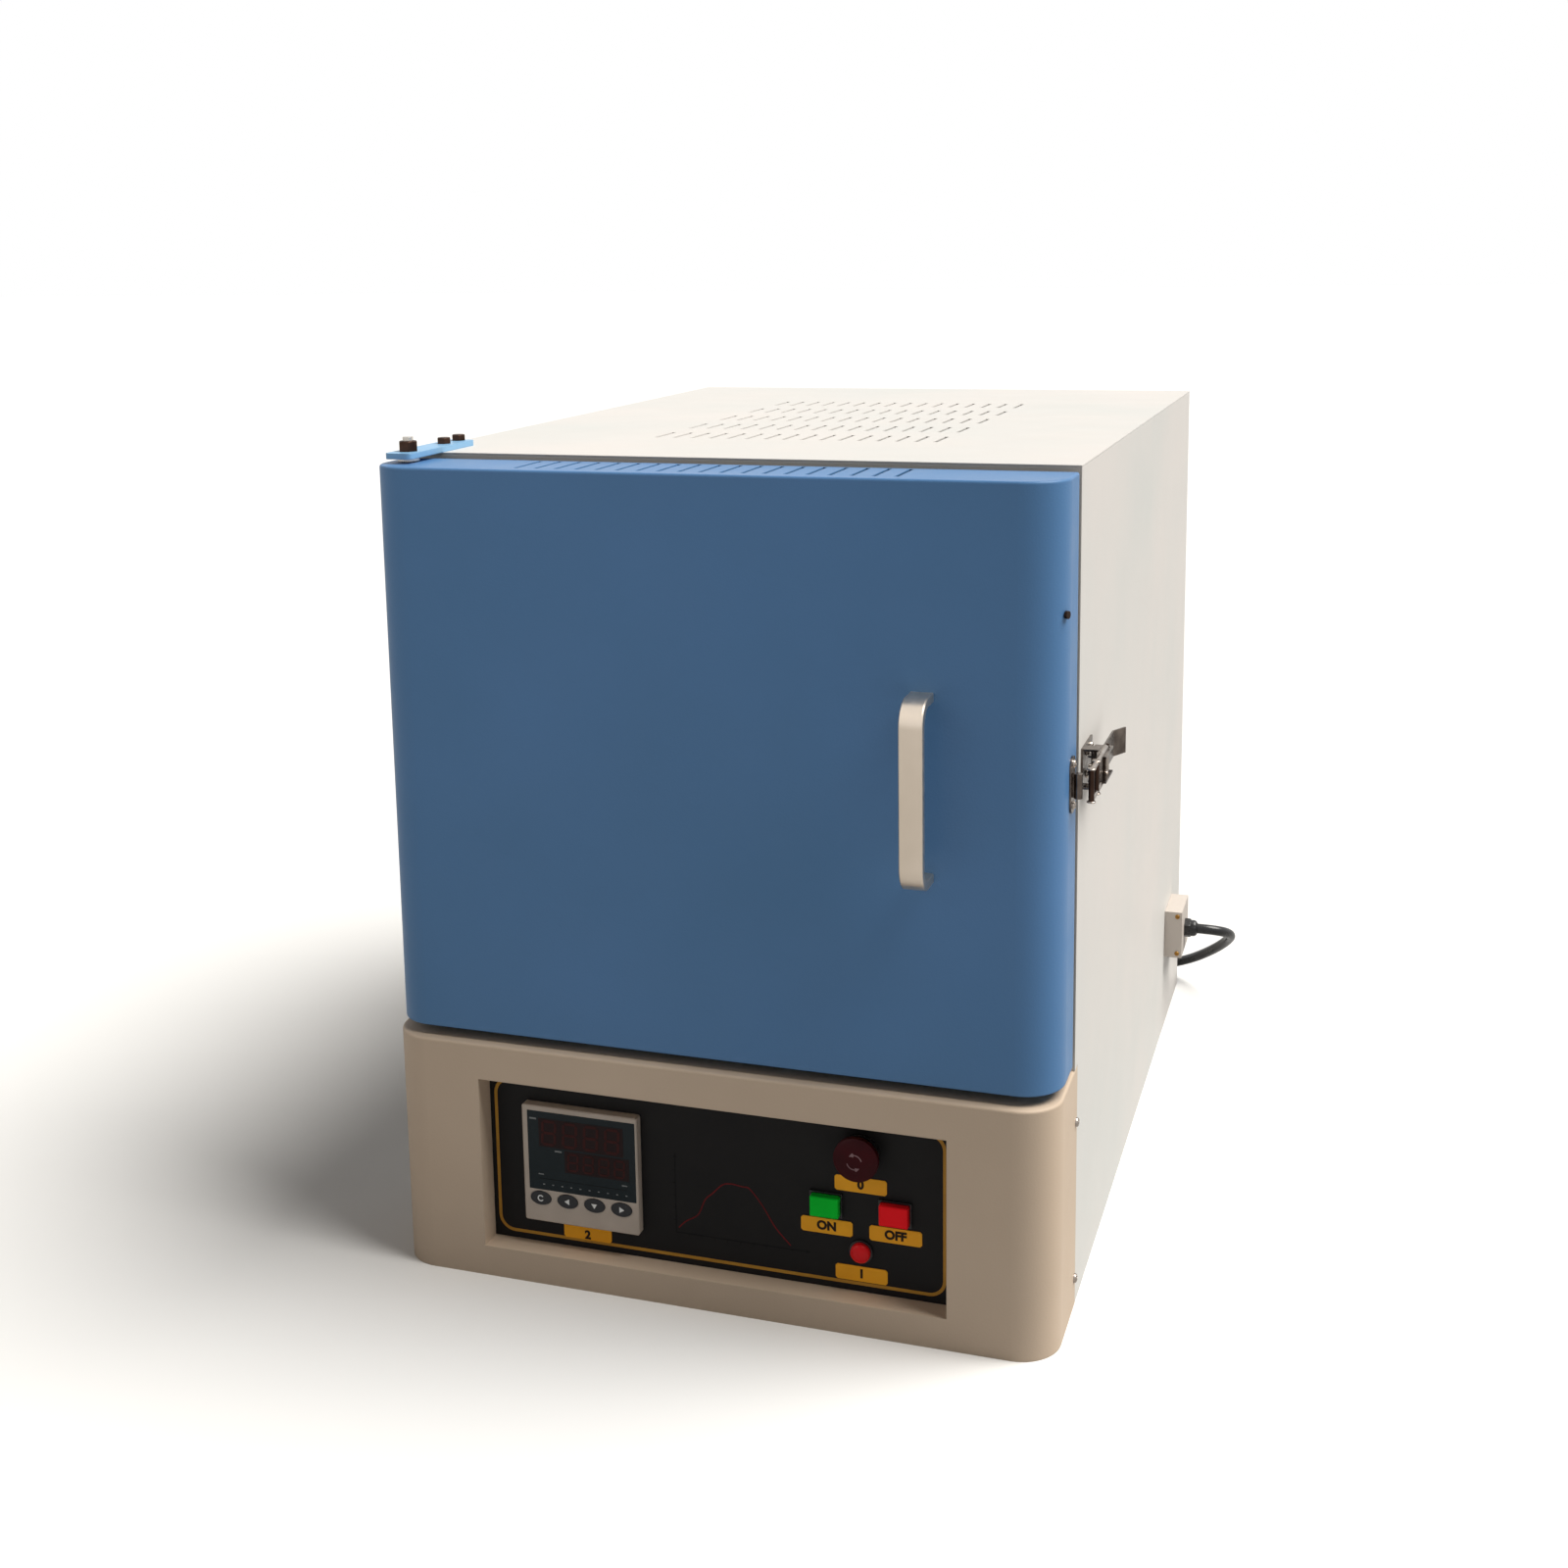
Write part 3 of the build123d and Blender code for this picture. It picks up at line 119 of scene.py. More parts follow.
def pattern(tree, size, detail=2.0, stretch=(1, 1, 1)):
    """Noise on object coordinates whose features are about this size in metres."""
    coords = add_node(tree, "TexCoord")
    scaled = add_node(tree, "Mapping", {"Vector": coords.outputs["Object"], "Scale": stretch})
    return add_node(
        tree, "TexNoise",
        {"Vector": scaled.outputs["Vector"], "Scale": 1 / size, "Detail": detail},
    ).outputs["Fac"]


def drift(tree, size, start, end):
    """A value that drifts between start and end, over places about this size apart. The noise
    it comes from is mostly within 0.3 to 0.7."""
    inputs = {"Value": pattern(tree, size, 3.0), "From Min": 0.3, "From Max": 0.7,
              "To Min": start, "To Max": end}
    return add_node(tree, "MapRange", inputs).outputs["Result"]


SMOOTHER, ROUGHER = 0.04, 0.07


def finish(tree, shader, colours, colour_size, rough, rough_size, height, depth, edge):
    """Links the shade, the roughness, the bump and the softened edges of a material."""
    inputs = {0: drift(tree, colour_size, 0.0, 1.0), 6: linear(colours[0]), 7: linear(colours[1])}
    shade = add_node(tree, "Mix", inputs, data_type="RGBA").outputs[2]
    tree.links.new(shade, shader.inputs["Base Color"])
    gloss = drift(tree, rough_size, rough - SMOOTHER, rough + ROUGHER)
    tree.links.new(gloss, shader.inputs["Roughness"])
    inputs = {"Height": height, "Distance": depth, "Strength": 1.0}
    if edge:
        inputs["Normal"] = add_node(tree, "Bevel", {"Radius": edge}, samples=4).outputs["Normal"]
    tree.links.new(add_node(tree, "Bump", inputs).outputs["Normal"], shader.inputs["Normal"])


def powder_paint(name, colour, shade, rough, shine=0.5):
    """Baked powder paint on sheet steel. The eye sees a fine orange peel, drawn at 1.6 mm, soft
    highlights, and a slow drift of shade over a hand's breadth."""
    mat, tree, shader = surface(name, colour, rough, Specular_IOR_Level=shine)
    peel = pattern(tree, 1.6 * MM, 3.0)
    finish(tree, shader, (colour, shade), colour_size=220 * MM, rough=rough, rough_size=50 * MM,
           height=peel, depth=0.12 * MM, edge=1.2 * MM)
    return mat


def fibre(name, colour, shade, size=2.5 * MM, depth=0.6 * MM):
    """Pressed or plaited ceramic fibre. It is chalky and matte, with short raised fibres."""
    mat, tree, shader = surface(name, colour, 0.95)
    lay = pattern(tree, size, 6.0, (1, 1, 0.4))
    finish(tree, shader, (colour, shade), colour_size=30 * MM, rough=0.92, rough_size=20 * MM,
           height=lay, depth=depth, edge=1.0 * MM)
    return mat


def brushed(name, colour, shade, rough, along, edge=0.5 * MM):
    """Metal brushed along one axis. Fine lines, drawn 0.8 mm wide, draw the highlights out."""
    mat, tree, shader = surface(name, colour, rough, Metallic=1.0)
    stretch = [0.02 if axis == along else 1.0 for axis in range(3)]
    lines = pattern(tree, 0.8 * MM, 3.0, stretch)
    finish(tree, shader, (colour, shade), colour_size=60 * MM, rough=rough, rough_size=9 * MM,
           height=lines, depth=0.04 * MM, edge=edge)
    return mat


def plated(name, colour, shade, rough, edge=0.3 * MM):
    """Plated or blackened steel. It is bright at its edges, and smeared where it was handled."""
    mat, tree, shader = surface(name, colour, rough, Metallic=1.0)
    smears = pattern(tree, 4 * MM)
    finish(tree, shader, (colour, shade), colour_size=12 * MM, rough=rough, rough_size=6 * MM,
           height=smears, depth=0.03 * MM, edge=edge)
    return mat


def moulded(name, colour, shade, rough, grain=0.6 * MM, depth=0.02 * MM, edge=0.3 * MM, **sockets):
    """Moulded plastic or rubber. It has an even colour and a fine spark-eroded grain."""
    mat, tree, shader = surface(name, colour, rough, **sockets)
    grains = pattern(tree, grain)
    finish(tree, shader, (colour, shade), colour_size=25 * MM, rough=rough, rough_size=20 * MM,
           height=grains, depth=depth, edge=edge)
    return mat


def ink(name, colour, shade, rough=0.5):
    """Screen-printed ink. It is flat and thin, with the faint grain of the screen's mesh."""
    return moulded(name, colour, shade, rough, 0.5 * MM, 0.005 * MM, 0.0, Specular_IOR_Level=0.15)


# the painted sheets, which show soft wide highlights
blue_paint = powder_paint("powder_painted_steel_blue", "#5683B6", "#507DAC", 0.38, 0.3)
# the hinge bar wears the door's blue paint; this paler copy is a painted highlight for the light
# that falls on the bar
blue_paint_painted_light = powder_paint("powder_painted_steel_blue_painted_light", "#86B8E0", "#7EB0D8", 0.36)
light_paint = powder_paint("powder_painted_steel_pale", "#DDD8D4", "#D4D4D1", 0.50, 0.3)
base_paint = powder_paint("powder_painted_steel_warm_grey", "#D2BEA9", "#C8B49F", 0.48, 0.25)
box_paint = powder_paint("powder_painted_steel_light_grey", "#CDC4BC", "#C2B8AF", 0.42)
# inside: rolled sheet with faint lines, chalky fibre and ceramic, and wire dulled by its oxide
zinc_sheet = brushed("rolled_zinc_coated_steel", "#9FA1A1", "#B1B3B2", 0.45, along=0)
fibre_board = fibre("pressed_ceramic_fibre_board", "#E9E4D8", "#DAD2C0")
fibre_rope = fibre("plaited_ceramic_fibre_rope", "#E4DED0", "#CFC6B2", 1.8 * MM, 0.9 * MM)
hearth_ceramic = fibre("fired_cordierite_plate", "#CFC6B4", "#B8AC96", 1.2 * MM, 0.2 * MM)
element_wire = plated("oxidised_resistance_alloy_wire", "#5B5049", "#453C37", 0.55)
# the controls: a satin black film, a glossy dark window, and dyed plastics with a soft sheen
panel_film = moulded("printed_polycarbonate_film_black", "#1C1B1C", "#1F1E1E", 0.45, 0.8 * MM,
                     0.01 * MM, 0.0, Specular_IOR_Level=0.12)
bezel_plastic = moulded("moulded_abs_warm_grey", "#C2B5A9", "#B8AB9F", 0.42, edge=1.0 * MM)
window_plastic = moulded("polished_polycarbonate_dark", "#1A262B", "#162126", 0.15, 4 * MM,
                         0.004 * MM, 0.0, Specular_IOR_Level=0.2)
key_rubber = moulded("moulded_silicone_rubber_black", "#131417", "#1B1C20", 0.6)
black_plastic = moulded("moulded_nylon_black", "#111113", "#18181A", 0.28)
green_plastic = moulded("moulded_acrylic_green", "#00D236", "#00C432", 0.4, Specular_IOR_Level=0.08)
red_plastic = moulded("moulded_acrylic_red", "#FF1A26", "#F41722", 0.4, Specular_IOR_Level=0.08)
lamp_plastic = moulded("moulded_lens_acrylic_red", "#E8141E", "#D81019", 0.3,
                       Specular_IOR_Level=0.2)
stop_plastic = moulded("moulded_abs_dark_red", "#3E0810", "#32060C", 0.4, Specular_IOR_Level=0.1)
label_foil = moulded("printed_polyester_label_amber", "#FFB424", "#F6AA20", 0.45, 1.5 * MM,
                     0.01 * MM, 0.0, Specular_IOR_Level=0.2)
# bare metals: a silky handle, bright turned screws, and darker forged and pressed steel
handle_metal = brushed("brushed_anodised_aluminium", "#E8DACA", "#DCCEBD", 0.34, along=2,
                       edge=0.8 * MM)
bright_steel = plated("turned_nickel_plated_steel", "#B9B0A8", "#9A8F86", 0.24)
dark_steel = plated("forged_blackened_steel", "#4B3830", "#35271F", 0.42)
stud_steel = plated("turned_zinc_plated_steel", "#E2DED8", "#CFC9C1", 0.28)
bush_brass = plated("turned_brass", "#B59A5A", "#A48A4C", 0.3)
brass_screw = plated("turned_brass_screw", "#B58A4A", "#8E6632", 0.35)
latch_metal = plated("pressed_nickel_plated_steel", "#857A72", "#4E4540", 0.2)
# the mains lead: a glossy extruded sheath, and a duller moulded plug
cord_rubber = moulded("extruded_pvc_black", "#121214", "#1A1A1C", 0.26)
plug_rubber = moulded("moulded_pvc_black", "#17171A", "#202023", 0.5, 1.0 * MM, 0.03 * MM)
tie_plastic = moulded("moulded_nylon_tie_black", "#232327", "#1C1C20", 0.45)
pin_brass = plated("stamped_nickel_plated_brass", "#C9AE6A", "#B89C58", 0.25)
# inks, and the segments and blocks of a display that is off, which show only as a dull red
ink_white = ink("screen_ink_white", "#F2F4F4", "#E2E4E4")
ink_dark = ink("screen_ink_dark_brown", "#2A1C0E", "#20150A")
ink_black = ink("screen_ink_black", "#060607", "#0A0A0B")
ink_pale = ink("screen_ink_pale_grey", "#8C9092", "#7C8082")
ink_rose = ink("pad_printed_ink_rose", "#8E7276", "#7E6266")
ink_red = ink("screen_ink_dull_red", "#6E171B", "#5C1216")
ink_gold = ink("screen_ink_gold", "#C4923C", "#B78534", 0.4)
segment_red = ink("unlit_segment_dull_red", "#3E1817", "#341413", 0.5)
block_red = ink("unlit_display_dark_red", "#261617", "#211314", 0.4)

NODE_MATERIALS = {
    blue_paint: ["door_shell"],
    blue_paint_painted_light: ["hinge_bar"],
    light_paint: ["casing_left", "casing_right", "casing_back", "casing_top", "front_panel"],
    base_paint: ["fascia", "base_tray"],
    box_paint: ["terminal_box"],
    zinc_sheet: ["chamber_shelf", "door_back"],
    fibre_board: ["insulation_floor", "insulation_roof", "insulation_rear", "insulation_left",
                  "insulation_right", "door_insulation"],
    fibre_rope: ["door_gasket"],
    element_wire: ["heating_elements"],
    hearth_ceramic: ["hearth_plate", "thermocouple"],
    panel_film: ["panel_plate"],
    bezel_plastic: ["controller_bezel"],
    window_plastic: ["controller_window"],
    key_rubber: ["controller_key_1", "controller_key_2", "controller_key_3", "controller_key_4"],
    black_plastic: ["switch_bodies", "panel_rims", "lamp_body", "cable_gland", "stop_stem"],
    green_plastic: ["green_button"],
    red_plastic: ["red_button"],
    lamp_plastic: ["lamp_lens"],
    stop_plastic: ["stop_head"],
    label_foil: ["label_plates"],
    handle_metal: ["handle"],
    bright_steel: ["casing_screws", "handle_screws", "keeper_screws", "latch_screws"],
    brass_screw: ["terminal_screws"],
    stud_steel: ["hinge_pivots", "hinge_washers"],
    dark_steel: ["hinge_bolts", "door_side_pin"],
    bush_brass: ["hinge_bushes"],
    latch_metal: ["latch_base", "latch_keeper", "latch_lever", "latch_link"],
    cord_rubber: ["mains_cord", "cord_coil"],
    plug_rubber: ["mains_plug"],
    tie_plastic: ["cord_tie"],
    pin_brass: ["plug_pins"],
}
for material, names in NODE_MATERIALS.items():
    for name in names:
        nodes[name].data.materials.clear()
        nodes[name].data.materials.append(material)


# ---------------------------------------------------------------- pieces from grids
def place_piece(mesh, name, material, body, replaced=()):
    """Puts a mesh in the scene as one piece on a CAD body."""
    mesh.materials.clear()
    mesh.materials.append(material)
    piece = bpy.data.objects.new(name, mesh)
    bpy.context.scene.collection.objects.link(piece)
    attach(piece, body)
    if replaced:
        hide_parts(*replaced)
    return piece


def grid_piece(name, grids, material, body, replaced=(), crease=35):
    """One piece from grids of points, each an array of rows by columns by 3.

    Every grid is a tube: its columns close on themselves. A first or last row that is a single
    point repeated closes that end. Edges that turn by more than the crease angle stay sharp."""
    points, quads, start = [], [], 0
    for grid in grids:
        rows, columns = grid.shape[:2]
        index = start + np.arange(rows * columns).reshape(rows, columns)
        beside = np.roll(index, -1, axis=1)
        corners = (index[:-1], beside[:-1], beside[1:], index[1:])
        quads.append(np.stack([c.ravel() for c in corners], axis=1))
        points.append(grid.reshape(-1, 3))
        start += rows * columns
    mesh = bpy.data.meshes.new(name)
    mesh.from_pydata(np.concatenate(points).tolist(), [], np.concatenate(quads).tolist())
    work = bmesh.new()
    work.from_mesh(mesh)
    bmesh.ops.remove_doubles(work, verts=work.verts, dist=0.5e-6)
    bmesh.ops.recalc_face_normals(work, faces=work.faces)
    work.to_mesh(mesh)
    work.free()
    mesh.shade_smooth()
    mesh.set_sharp_from_angle(angle=math.radians(crease))
    return place_piece(mesh, name, material, body, replaced)


def closed(rows):
    """Adds the middle of the first and of the last row as rows of their own, to close the ends."""
    ends = [np.broadcast_to(row.mean(axis=0), row.shape)[None] for row in (rows[0], rows[-1])]
    return np.concatenate([ends[0], rows, ends[1]])


def unit(vectors):
    """Vectors scaled to length one, along the last axis."""
    return vectors / np.linalg.norm(vectors, axis=-1, keepdims=True)


def side_axes(outward):
    """Two unit vectors across a direction, square to it and to each other."""
    outward = np.array(outward, float)
    helper = np.array([0.0, 0.0, 1.0]) if abs(outward[2]) < 0.5 else np.array([1.0, 0.0, 0.0])
    first = unit(np.cross(helper, outward))
    return first, np.cross(outward, first)


def turned(profile, foot, outward, steps=64, shape=None):
    """A turned form: each profile point (along, radius) becomes a ring about the axis.

    The ring is foot + along * outward + radius * (cos(a) * u + sin(a) * v). The shape, if given,
    is a function of the radii and angles that gives the radii to use instead."""
    along, radius = np.array(profile, float).T
    angle = np.linspace(0, 2 * math.pi, steps, endpoint=False)
    radii = np.repeat(radius[:, None], steps, axis=1)
    if shape:
        radii = shape(radii, angle)
    u, v = side_axes(outward)
    rings = radii[..., None] * (np.cos(angle)[:, None] * u + np.sin(angle)[:, None] * v)
    return np.array(foot) + along[:, None, None] * np.array(outward, float) + rings


def rounded(centre, radius, first, last, steps=7):
    """Points (along, radius) on an arc between two angles in degrees, for a turned profile."""
    angle = np.radians(np.linspace(first, last, steps))
    return np.array(centre) + radius * np.stack([np.cos(angle), np.sin(angle)], axis=1)


def hexagon(across):
    """Limits rings to a hexagon: the radius is at most half the width over cos of the angle from
    the nearest flat's middle."""
    def limit(radii, angle):
        from_flat = (angle + math.pi / 6) % (math.pi / 3) - math.pi / 6
        return np.minimum(radii, across / 2 / np.cos(from_flat))
    return limit


# ---------------------------------------------------------------- printed marks
RAISE = 0.12 * MM


def stroke(path, width, front, ring=False):
    """A flat mark on a panel that faces -Y: a thin rectangle carried along a path in X and Z.

    At each point of the path, the four corners of the rectangle are the point moved by plus or
    minus half the width along the path's normal, at the panel's face and RAISE before it. The
    width may be one number for each point, and almost nothing at a tip."""
    path = np.array(path, float)
    if ring:
        path = np.concatenate([path[-1:], path, path[:2]])
    along = unit(np.gradient(path, axis=0))
    normal = np.stack([along[:, 1], -along[:, 0]], axis=1)
    half = np.broadcast_to(np.array(width, float) / 2, len(path))[:, None]
    right, left = path + normal * half, path - normal * half
    back, face = front, front - RAISE
    corners = [(right, back), (right, face), (left, face), (left, back)]
    rows = np.stack([np.insert(edge, 1, y, axis=1) for edge, y in corners], axis=1)
    return rows[1:-1] if ring else closed(rows)


def rounded_frame(x0, x1, z0, z1, radius, steps=8):
    """A closed path round a rectangle with quarter-circle corners, counter-clockwise."""
    centres = np.array([(x1 - radius, z0 + radius), (x1 - radius, z1 - radius),
                        (x0 + radius, z1 - radius), (x0 + radius, z0 + radius)])
    angle = np.radians(np.array([-90, 0, 90, 180])[:, None] + np.linspace(0, 90, steps))
    arcs = centres[:, None] + radius * np.stack([np.cos(angle), np.sin(angle)], axis=-1)
    return arcs.reshape(-1, 2)


def smooth_line(points, steps=12):
    """A Catmull-Rom curve through points: on each span, the cubic of the four nearest points."""
    points = np.array(points, float)
    points = np.concatenate([[2 * points[0] - points[1]], points, [2 * points[-1] - points[-2]]])
    a, b, c, d = points[:-3, None], points[1:-2, None], points[2:-1, None], points[3:, None]
    t = (np.arange(steps) / steps)[None, :, None]
    spans = 0.5 * (2 * b + (c - a) * t + (2 * a - 5 * b + 4 * c - d) * t**2
                   + (3 * b - a - 3 * c + d) * t**3)
    return np.concatenate([spans.reshape(-1, 2), points[-2:-1]])


CAPITAL_SHARE = 0.7      # a capital's height as a share of the font's size
LETTER_T = 0.1 * MM
LETTER_SPREAD = 0.45 * MM


def lettering(name, words, height, centre, front, material):
    """Plain lettering of this height, centred at (x, z) on a panel that faces -Y."""
    curve = bpy.data.curves.new(name, "FONT")
    curve.body = words
    curve.align_x = "CENTER"
    curve.align_y = "CENTER"
    curve.size = height / CAPITAL_SHARE
    curve.extrude = LETTER_T
    curve.offset = LETTER_SPREAD
    holder = bpy.data.objects.new(name, curve)
    bpy.context.scene.collection.objects.link(holder)
    bpy.context.view_layer.update()
    mesh = bpy.data.meshes.new_from_object(holder)
    bpy.data.objects.remove(holder)
    upright = Matrix.Rotation(math.radians(90), 4, "X")
    mesh.transform(Matrix.Translation((centre[0], front - LETTER_T, centre[1])) @ upright)
    mesh.name = name
    return place_piece(mesh, name, material, "cabinet")


# the gold line follows the edge of the panel and is hidden at the top by the fascia
PANEL_Y = low("panel_plate")[1]
BORDER_X = (-181 * MM, 178.5 * MM)
BORDER_Z = (31 * MM, 157 * MM)
BORDER_R = 12 * MM
BORDER_LINE = 2.6 * MM
border = stroke(rounded_frame(*BORDER_X, *BORDER_Z, BORDER_R), BORDER_LINE, PANEL_Y, ring=True)
grid_piece("panel_border", [border], ink_gold, "cabinet")

# a generic heating curve: time to the right, temperature up
GRAPH_X = (-32 * MM, 72 * MM)
GRAPH_Z = (50 * MM, 111 * MM)
GRAPH_LINE = 0.9 * MM
CURVE_LINE = 1.0 * MM
CURVE_RAISE = 0.01 * MM
TICK_L = 2.2 * MM
TICK_LINE = 0.6 * MM
ARROW_L = 4 * MM
ARROW_W = (3 * MM, 0.1 * MM)
HEATING_CURVE = np.array([(-30, 54), (-24, 60), (-14, 67), (-8, 80), (-2, 86), (6, 94), (13, 96),
                          (22, 95), (28, 94), (38, 82), (48, 66), (60, 53)]) * MM
left, right = GRAPH_X
foot, top = GRAPH_Z
graph = [stroke([(left, foot), (left, top)], GRAPH_LINE, PANEL_Y),
         stroke([(left, foot), (right, foot)], GRAPH_LINE, PANEL_Y),
         stroke([(left, top), (left, top + ARROW_L)], ARROW_W, PANEL_Y),
         stroke([(right, foot), (right + ARROW_L, foot)], ARROW_W, PANEL_Y)]
graph += [stroke([(x, foot), (x, foot - TICK_L)], TICK_LINE, PANEL_Y)
          for x in np.linspace(left, right, 11)[1:-1]]
graph += [stroke([(left, z), (left - TICK_L, z)], TICK_LINE, PANEL_Y)
          for z in np.linspace(foot, top, 7)[1:-1]]
grid_piece("graph_axes", graph, ink_black, "cabinet")
curve = stroke(smooth_line(HEATING_CURVE), CURVE_LINE, PANEL_Y - CURVE_RAISE)
grid_piece("graph_curve", [curve], ink_red, "cabinet")

# the words on the amber labels, and their places in mm
LABEL_Y = low("label_plates")[1]
LABEL_TEXT_H = 6.6 * MM
LABELS = (("label_on", "ON", 88.5, 73.5), ("label_off", "OFF", 141.5, 73.5),
          ("label_stop", "0", 115.0, 110.0), ("label_lamp", "1", 115.2, 39.0),
          ("label_controller", "2", -106.2, 36.0))
for name, words, x, z in LABELS:
    lettering(name, words, LABEL_TEXT_H, (x * MM, z * MM), LABEL_Y, ink_dark)

# ---------------------------------------------------------------- controller display and keys
SLANT = 0.05
WINDOW_LOW, WINDOW_HIGH = low("controller_window"), high("controller_window")
WINDOW_Y = WINDOW_LOW[1]
WINDOW_W, WINDOW_H = (WINDOW_HIGH - WINDOW_LOW)[[0, 2]]


def figure_eight(x, z, width, height, thick):
    """One seven-segment figure: seven bars with pointed ends, each a stroke whose width falls to
    almost nothing at its tips. The figure leans to the right by SLANT of its height."""
    half = height / 2
    across = [((x, z + row * half), (x + width, z + row * half)) for row in range(3)]
    upright = [((x + column * width, z + row * half), (x + column * width, z + (row + 1) * half))
               for column in range(2) for row in range(2)]
    face = WINDOW_Y - RAISE
    bars = []
    for start, end in across + upright:
        start, end = np.array(start), np.array(end)
        step = unit(end - start) * thick / 2
        tips, shoulders = 0.3 * step, 1.3 * step
        path = np.array([start + tips, start + shoulders, end - shoulders, end - tips])
        segment = stroke(path, np.array([0.02, 1.0, 1.0, 0.02]) * thick, face)
        segment[..., 0] += SLANT * (segment[..., 2] - z)
        bars.append(segment)
    return bars


def on_window(right, up):
    """A place on the window, from shares of its width and height."""
    return np.array([WINDOW_LOW[0] + right * WINDOW_W, WINDOW_LOW[2] + up * WINDOW_H])


def bar(start, end, width):
    """A straight mark on the window, with its ends given as shares of the width and height."""
    return stroke([on_window(*start), on_window(*end)], width, WINDOW_Y)


# each row of four unlit figures lies on a dull red block: its left and lower edge, pitch, width
# and height as shares of the window, and its bars' thickness in mm
DIGITS = 4
DIGIT_ROWS = ((0.135, 0.59, 0.196, 0.118, 0.290, 2.2), (0.372, 0.295, 0.144, 0.086, 0.205, 1.6))
BLOCK_LEFT, BLOCK_RIGHT, BLOCK_TALLER = 0.03, 0.05, 0.07
blocks, digits = [], []
for left, up, pitch, width, height, thick in DIGIT_ROWS:
    centre_line = up + height / 2
    right = left + (DIGITS - 1) * pitch + width
    blocks.append(bar((left - BLOCK_LEFT, centre_line), (right + BLOCK_RIGHT, centre_line),
                      (height + BLOCK_TALLER) * WINDOW_H))
    for place in range(DIGITS):
        x, z = on_window(left + place * pitch, up)
        digits += figure_eight(x, z, width * WINDOW_W, height * WINDOW_H, thick * MM)
grid_piece("display_blocks", blocks, block_red, "cabinet")
grid_piece("display_figures", digits, segment_red, "cabinet")

# ten marks under the scale, and dashes where a controller has its captions: start and end in
# shares of the window, and line width in mm
TICKS = [((x, 0.075), (x + 0.018, 0.075), 0.8) for x in np.linspace(0.13, 0.9, 10)]
DASHES = [((0.02, 0.90), (0.085, 0.90), 1.3), ((0.25, 0.515), (0.315, 0.515), 1.3),
          ((0.09, 0.20), (0.14, 0.20), 0.9), ((0.87, 0.20), (0.92, 0.20), 0.9)]
marks = [bar(start, end, width * MM) for start, end, width in TICKS + DASHES]
grid_piece("display_marks", marks, ink_pale, "cabinet")
scale = bar((0.09, 0.145), (0.92, 0.145), 0.35 * MM)
grid_piece("display_scale", [scale], ink_black, "cabinet")

# the first key shows a ring with a gap, the others a triangle that points left, down or right
ICON = 2.8 * MM
ICON_BEHIND, ICON_AHEAD = 0.55 * ICON, 0.85 * ICON
ICON_WIDTHS = (1.7 * ICON, 0.02 * ICON)
RING_R = 2.2 * MM
RING_LINE = 0.9 * MM
RING_ARC = (35, 325)
for key, heading in ((1, None), (2, (-1, 0)), (3, (0, -1)), (4, (1, 0))):
    node = f"controller_key_{key}"
    spot = middle(node)[[0, 2]]
    if heading is None:
        angle = np.radians(np.linspace(*RING_ARC, 20))
        path = spot + RING_R * np.stack([np.cos(angle), np.sin(angle)], axis=1)
        icon = stroke(path, RING_LINE, low(node)[1])
    else:
        way = np.array(heading, float)
        base, point = spot - ICON_BEHIND * way, spot + ICON_AHEAD * way
        icon = stroke([base, point], ICON_WIDTHS, low(node)[1])
    grid_piece(f"key_icon_{key}", [icon], ink_white, node + "_cap")

# ---------------------------------------------------------------- stop button and lamp
STOP = middle("stop_head")
STOP_BACK_Y = high("stop_head")[1]
STOP_T = STOP_BACK_Y - low("stop_head")[1]
STOP_R = (high("stop_head") - low("stop_head"))[0] / 2
DOME_RISE = 3.4 * MM
DOME_R = STOP_R - 0.64 * MM
DOME_SPHERE = (DOME_R**2 + DOME_RISE**2) / (2 * DOME_RISE)
RIM_DROP = 0.6 * MM
BACK_EDGE_R = 1.0 * MM
BACK_CHAMFER = 0.2 * MM


def dome_drop(radius):
    """How far a dome of radius DOME_R has fallen behind its tip: s - sqrt(s^2 - r^2)."""
    return DOME_SPHERE - np.sqrt(DOME_SPHERE**2 - radius**2)


dome_radii = np.linspace(TIP, DOME_R, 14)
dome = np.stack([STOP_T - dome_drop(dome_radii), dome_radii], axis=1)[::-1]
back_edge = rounded((BACK_EDGE_R, STOP_R - BACK_EDGE_R), BACK_EDGE_R, 150, 90, 4)
stop_profile = np.concatenate([
    [(0, TIP), (0, STOP_R - BACK_EDGE_R - BACK_CHAMFER)], back_edge,
    [(STOP_T - DOME_RISE - RIM_DROP, STOP_R)], dome])
mushroom = closed(turned(stop_profile, (STOP[0], STOP_BACK_Y, STOP[2]), FRONT, 96))
grid_piece("stop_mushroom", [mushroom], stop_plastic, "stop_knob",
           ["stop_head"])

# two arrows that run round the dome, each a thin shaft of 15 points and a head of 7
TURN_ARROW_R = 5.6 * MM
TURN_ARROW_ARC = 118
TURN_ARROW_SINK = 0.02 * MM
TURN_ARROW_WIDTHS = np.concatenate([np.full(15, 0.8), np.linspace(3.2, 0.05, 7)]) * MM
arrows = []
for start in (15, 195):
    angle = np.radians(np.linspace(start, start + TURN_ARROW_ARC, len(TURN_ARROW_WIDTHS)))
    arc = STOP[[0, 2]] + TURN_ARROW_R * np.stack([np.cos(angle), np.sin(angle)], axis=1)
    arrow = stroke(arc, TURN_ARROW_WIDTHS, 0.0)
    reach = np.hypot(arrow[..., 0] - STOP[0], arrow[..., 2] - STOP[2])
    arrow[..., 1] += STOP_BACK_Y - STOP_T + dome_drop(reach) + TURN_ARROW_SINK
    arrows.append(arrow)
grid_piece("stop_arrows", arrows, ink_rose, "stop_knob")

